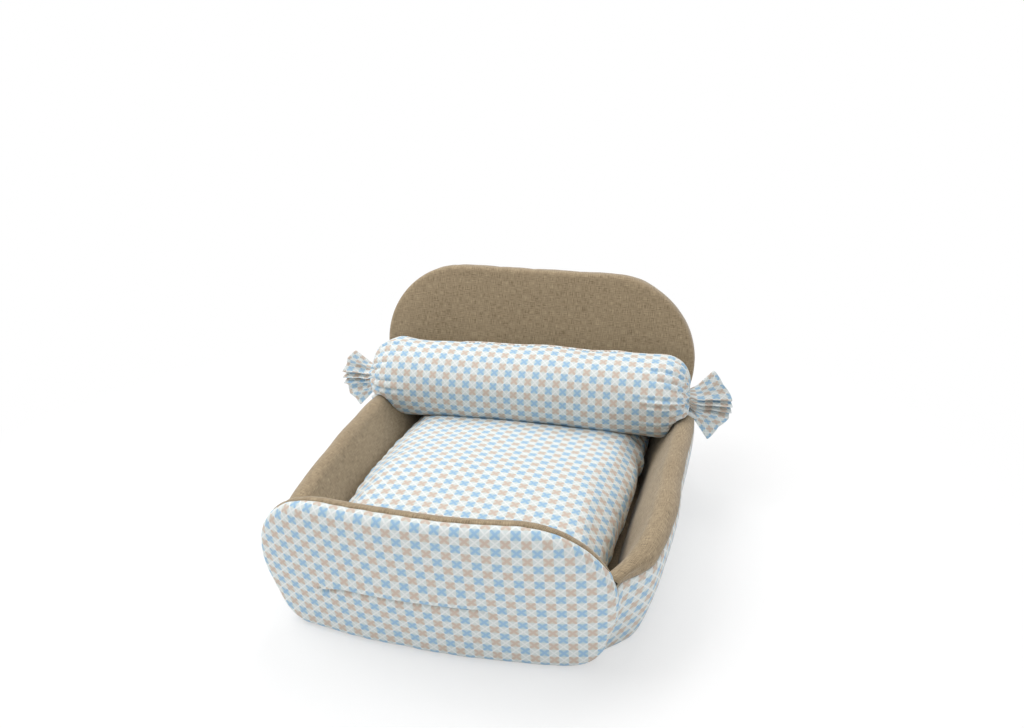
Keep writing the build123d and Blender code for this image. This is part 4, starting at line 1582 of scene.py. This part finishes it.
@dataclass
class Studio:
    """A white floor and backdrop, soft lamps, and the camera at the photograph's place."""

    camera: tuple[float, float, float]
    yaw: float
    pitch: float
    roll: float
    focal_px: float
    principal: tuple[float, float]
    image: tuple[int, int] = (1024, 728)

    def build_camera(self) -> None:
        """Sets the camera's place, lens and shift."""
        yaw, pitch, roll = (radians(a) for a in (self.yaw, self.pitch, self.roll))
        forward = Vector((-sin(yaw) * cos(pitch), cos(yaw) * cos(pitch), -sin(pitch)))
        right = Vector((cos(yaw), sin(yaw), 0))
        up = right.cross(forward)
        level_right = right * cos(roll) + up * sin(roll)
        level_up = up * cos(roll) - right * sin(roll)
        turn = Matrix((level_right, level_up, -forward)).transposed().to_4x4()
        data = bpy.data.cameras.new("camera")
        data.sensor_width = 36.0
        data.lens = self.focal_px / self.image[0] * data.sensor_width
        data.shift_x = (self.image[0] / 2 - self.principal[0]) / self.image[0]
        data.shift_y = (self.principal[1] - self.image[1] / 2) / self.image[0]
        data.clip_start, data.clip_end = 0.01, 50.0
        camera = linked("camera", data)
        camera.matrix_world = Matrix.Translation(self.camera) @ turn
        bpy.context.scene.camera = camera

    def build_lamps(self) -> None:
        """Hangs three soft lamps round the bed, turned to its middle."""
        aim = Vector((0, 0, 0.1))
        for name, place, power, size in (
            ("key", (-1.1, -0.3, 2.1), 24.0, 1.2),
            ("fill", (1.4, -1.5, 1.5), 5.0, 1.8),
            ("top", (0.1, 0.8, 2.2), 16.0, 1.4),
        ):
            data = bpy.data.lights.new(name, "AREA")
            data.energy, data.size = power, size
            lamp = linked(name, data)
            lamp.location = place
            lamp.rotation_euler = (aim - Vector(place)).to_track_quat("-Z", "Y").to_euler()

    @staticmethod
    def seen_white(
        tree: bpy.types.NodeTree, shaded: bpy.types.Node, share: bpy.types.Node | float
    ) -> bpy.types.NodeSocket:
        """Mixes plain white into what the camera, gloss and glass see, and into nothing else.

        Args:
            tree: The node tree.
            shaded: The surface or background without the white.
            share: How much of what they see is white.

        Returns:
            The mixed shader.
        """
        path = add_node(tree, "ShaderNodeLightPath")
        rays = [path.outputs[f"Is {kind} Ray"] for kind in ("Camera", "Glossy", "Transmission")]
        seen = add_node(tree, "ShaderNodeMath", {0: rays[0], 1: rays[1]}, operation="MAXIMUM")
        seen = add_node(tree, "ShaderNodeMath", {0: seen, 1: rays[2]}, operation="MAXIMUM")
        part = add_node(tree, "ShaderNodeMath", {0: seen, 1: share}, operation="MULTIPLY")
        white = add_node(tree, "ShaderNodeEmission", {"Color": (1, 1, 1, 1), "Strength": 1.0})
        return add_node(tree, "ShaderNodeMixShader", {0: part, 1: shaded, 2: white}).outputs[0]

    def build(self) -> None:
        """Makes the floor, the world, the lamps and the camera."""
        mesh = bpy.data.meshes.new("floor")
        mesh.from_pydata([(-6, -6, 0), (6, -6, 0), (6, 6, 0), (-6, 6, 0)], [], [(0, 1, 2, 3)])
        material = bpy.data.materials.new("white_paper_floor")
        material.use_nodes = True
        tree = material.node_tree
        diffuse = add_node(tree, "ShaderNodeBsdfDiffuse", {"Color": (0.95, 0.95, 0.95, 1)})
        place = add_node(tree, "ShaderNodeTexCoord")
        away = add_node(tree, "ShaderNodeVectorMath", {0: place.outputs["Object"]}, operation="LENGTH")
        share = add_node(tree, "ShaderNodeMapRange", {0: away.outputs["Value"], 1: 0.35, 2: 0.95, 3: 0.5, 4: 1.0})
        tree.links.new(self.seen_white(tree, diffuse, share), tree.nodes["Material Output"].inputs[0])
        link_mesh("floor", mesh, material)
        world = bpy.data.worlds.new("studio")
        bpy.context.scene.world = world
        world.use_nodes = True
        tree = world.node_tree
        room = add_node(tree, "ShaderNodeBackground", {"Color": (1, 1, 1, 1), "Strength": 0.56})
        tree.links.new(self.seen_white(tree, room, 1.0), tree.nodes["World Output"].inputs[0])
        bpy.context.scene.view_settings.view_transform = "Standard"
        self.build_lamps()
        self.build_camera()


# The bed


def dress_frame(nodes: dict, finishes: dict[str, bpy.types.Material]) -> None:
    """Gives the frame's own pieces their finishes.

    Args:
        nodes: The frame's pieces by name.
        finishes: Finish by the end of a piece's name.
    """
    for name, piece in nodes.items():
        for ending, material in finishes.items():
            if name.endswith(ending):
                piece.data.materials.clear()
                piece.data.materials.append(material)
                break


def build_shell(finishes: Finishes, undercloth: bpy.types.Material) -> list[SideWall]:
    """Builds the two panels, the two walls and the cloths between them.

    Args:
        finishes: Finish of the outer cloths and of the linings.
        undercloth: Finish of the cloth under the bed.

    Returns:
        The walls, left and right.
    """
    front = Panel(
        name="front", facing=-1, foot_y=-245.5 * MM, lean=12.0, bow_radius=0.84, height=0.188, half_width=0.2025,
        thickness=28 * MM, shoulder_radius=0.105, foot_radius=0.042, taper=17.0, seam_depth=13.4 * MM, wall_top=0.124,
        shift=-3.5 * MM, tuck=-4 * MM,
        spine=(
            (-0.124, 0.0715), (-0.106, 0.0785), (-0.090, 0.0835), (-0.048, 0.0855), (0.052, 0.087), (0.066, 0.083),
            (0.100, 0.083),
        ),
        slit=(-0.124, 0.066),
        creases=(
            Crease(0.070, 0.078, -30, 12 * MM, 2.2 * MM, 2.4 * MM),
            Crease(0.058, 0.074, -65, 8 * MM, 2.4 * MM, 1.8 * MM),
            Crease(0.082, 0.088, -12, 14 * MM, 3.0 * MM, 1.0 * MM),
            Crease(-0.116, 0.070, 24, 12 * MM, 2.6 * MM, 1.6 * MM),
        ),
    )
    back = Panel(
        name="back", facing=1, foot_y=260 * MM, lean=5.0, bow_radius=3.6, height=0.296, half_width=0.238,
        thickness=28 * MM, shoulder_radius=0.124, foot_radius=0.042, taper=14.0, seam_depth=4.5 * MM, wall_top=0.125,
        step=4.2 * MM, edge_power=4.2, gather=61 * MM, seed=2.0, shift=-3 * MM, slope=0.02,
    )
    heights = ((-0.240, 0.119), (0.0, 0.132), (0.250, 0.124))
    crests = {
        -1: ((-0.240, 0.186), (-0.180, 0.203), (-0.080, 0.216), (0.060, 0.224), (0.250, 0.214)),
        1: ((-0.240, 0.191), (-0.180, 0.2235), (-0.080, 0.2385), (0.060, 0.2415), (0.250, 0.222)),
    }
    walls = [
        SideWall(
            side=side, front=front, back=back, crest=crest, heights=heights, foot_inset=0.024, thickness=28 * MM,
            swell=5 * MM, seam_angle=76.0, seam_drop=8 * MM, seed=3.0 + side,
        )
        for side, crest in crests.items()
    ]
    for part in (front, back, *walls):
        part.build(finishes)
    under = FloorCloth("underside_cloth", walls[1], inset=1 * MM, height=0.9 * MM)
    well = FloorCloth("well_lining", walls[1], inset=16 * MM, height=13.6 * MM)
    give(under.build(undercloth), "bed", "bottom_cloth", "bottom_cover")
    give(well.build(finishes[1]), "bed", "linen", "floor_lining", "base_foam")
    return walls


def gathers() -> dict[int, tuple[Gather, ...]]:
    """Draws the folds round the bolster's ends: many even ones, and three deep ones on the right.

    Returns:
        The folds of each side.
    """
    draw = np.random.default_rng(5)
    folds = {
        side: tuple(
            Gather(k * 15 + draw.uniform(-4, 4), draw.uniform(158, 200) * MM, draw.uniform(2.0, 5.5) * MM)
            for k in range(24)
        )
        for side in (-1, 1)
    }
    folds[1] += (Gather(84, 0.168, 7 * MM), Gather(117, 0.160, 7 * MM), Gather(140, 0.176, 5 * MM))
    return folds


def main() -> None:
    """Builds the bed piece by piece."""
    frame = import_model()
    poplin, linen, undercloth, nickel = POPLIN.build(), LINEN.build(), UNDERCLOTH.build(), NICKEL.build()
    dress_frame(frame["nodes"], {
        "bottom_cover": undercloth, "_foam": FOAM.build(), "_filling": FIBRE.build(), "_lining": linen,
        "_tie": ELASTIC.build(), "_tapes": TAPE.build(), "_teeth": ACETAL.build(), "_stops": nickel,
        "_slider": nickel, "_cover": poplin,
    })
    walls = build_shell((poplin, linen), undercloth)
    SeatCushion(
        length=0.432, half_widths=(0.165, 0.185, 0.181), middle_y=8 * MM, seam_z=64 * MM, top_z=0.119,
        floor_z=15.4 * MM, bolster=(0.181, 0.147, 0.057), walls=walls,
    ).build(poplin)
    right_pleats = (
        (0, 0), (0.12, -0.002), (0.24, 0.001), (0.34, -0.004), (0.41, 0.008), (0.47, -0.007), (0.53, 0.009),
        (0.59, -0.006), (0.65, 0.007), (0.71, -0.004), (0.85, 0.002), (1, -0.001),
    )
    left_pleats = (
        (0, 0), (0.14, -0.004), (0.24, 0.004), (0.34, -0.005), (0.42, 0.007), (0.50, -0.006), (0.57, 0.007),
        (0.64, -0.006), (0.72, 0.005), (0.82, -0.004), (0.91, 0.003), (1, 0),
    )
    Bolster(
        y=0.181, z=0.147, radius=0.057, half_body=0.190, bulge=0.230, neck=0.231, neck_radius=12.6 * MM,
        fans={
            1: Fan(57, -62, (0.057, 0.053, 0.0585, 0.0595, 0.056, 0.0625), right_pleats),
            -1: Fan(47, -54, (0.054, 0.056, 0.059, 0.060, 0.059, 0.062), left_pleats),
        },
        folds=gathers(), lap_angle=12, lap=(-0.103, 0.145), walls=walls,
    ).build(poplin, THREAD.build())
    Studio(
        camera=(0.2745, -0.9268, 0.6067), yaw=16.72, pitch=23.5, roll=-1.77, focal_px=841.5, principal=(488.8, 408.7)
    ).build()


if __name__ == "__main__":
    main()
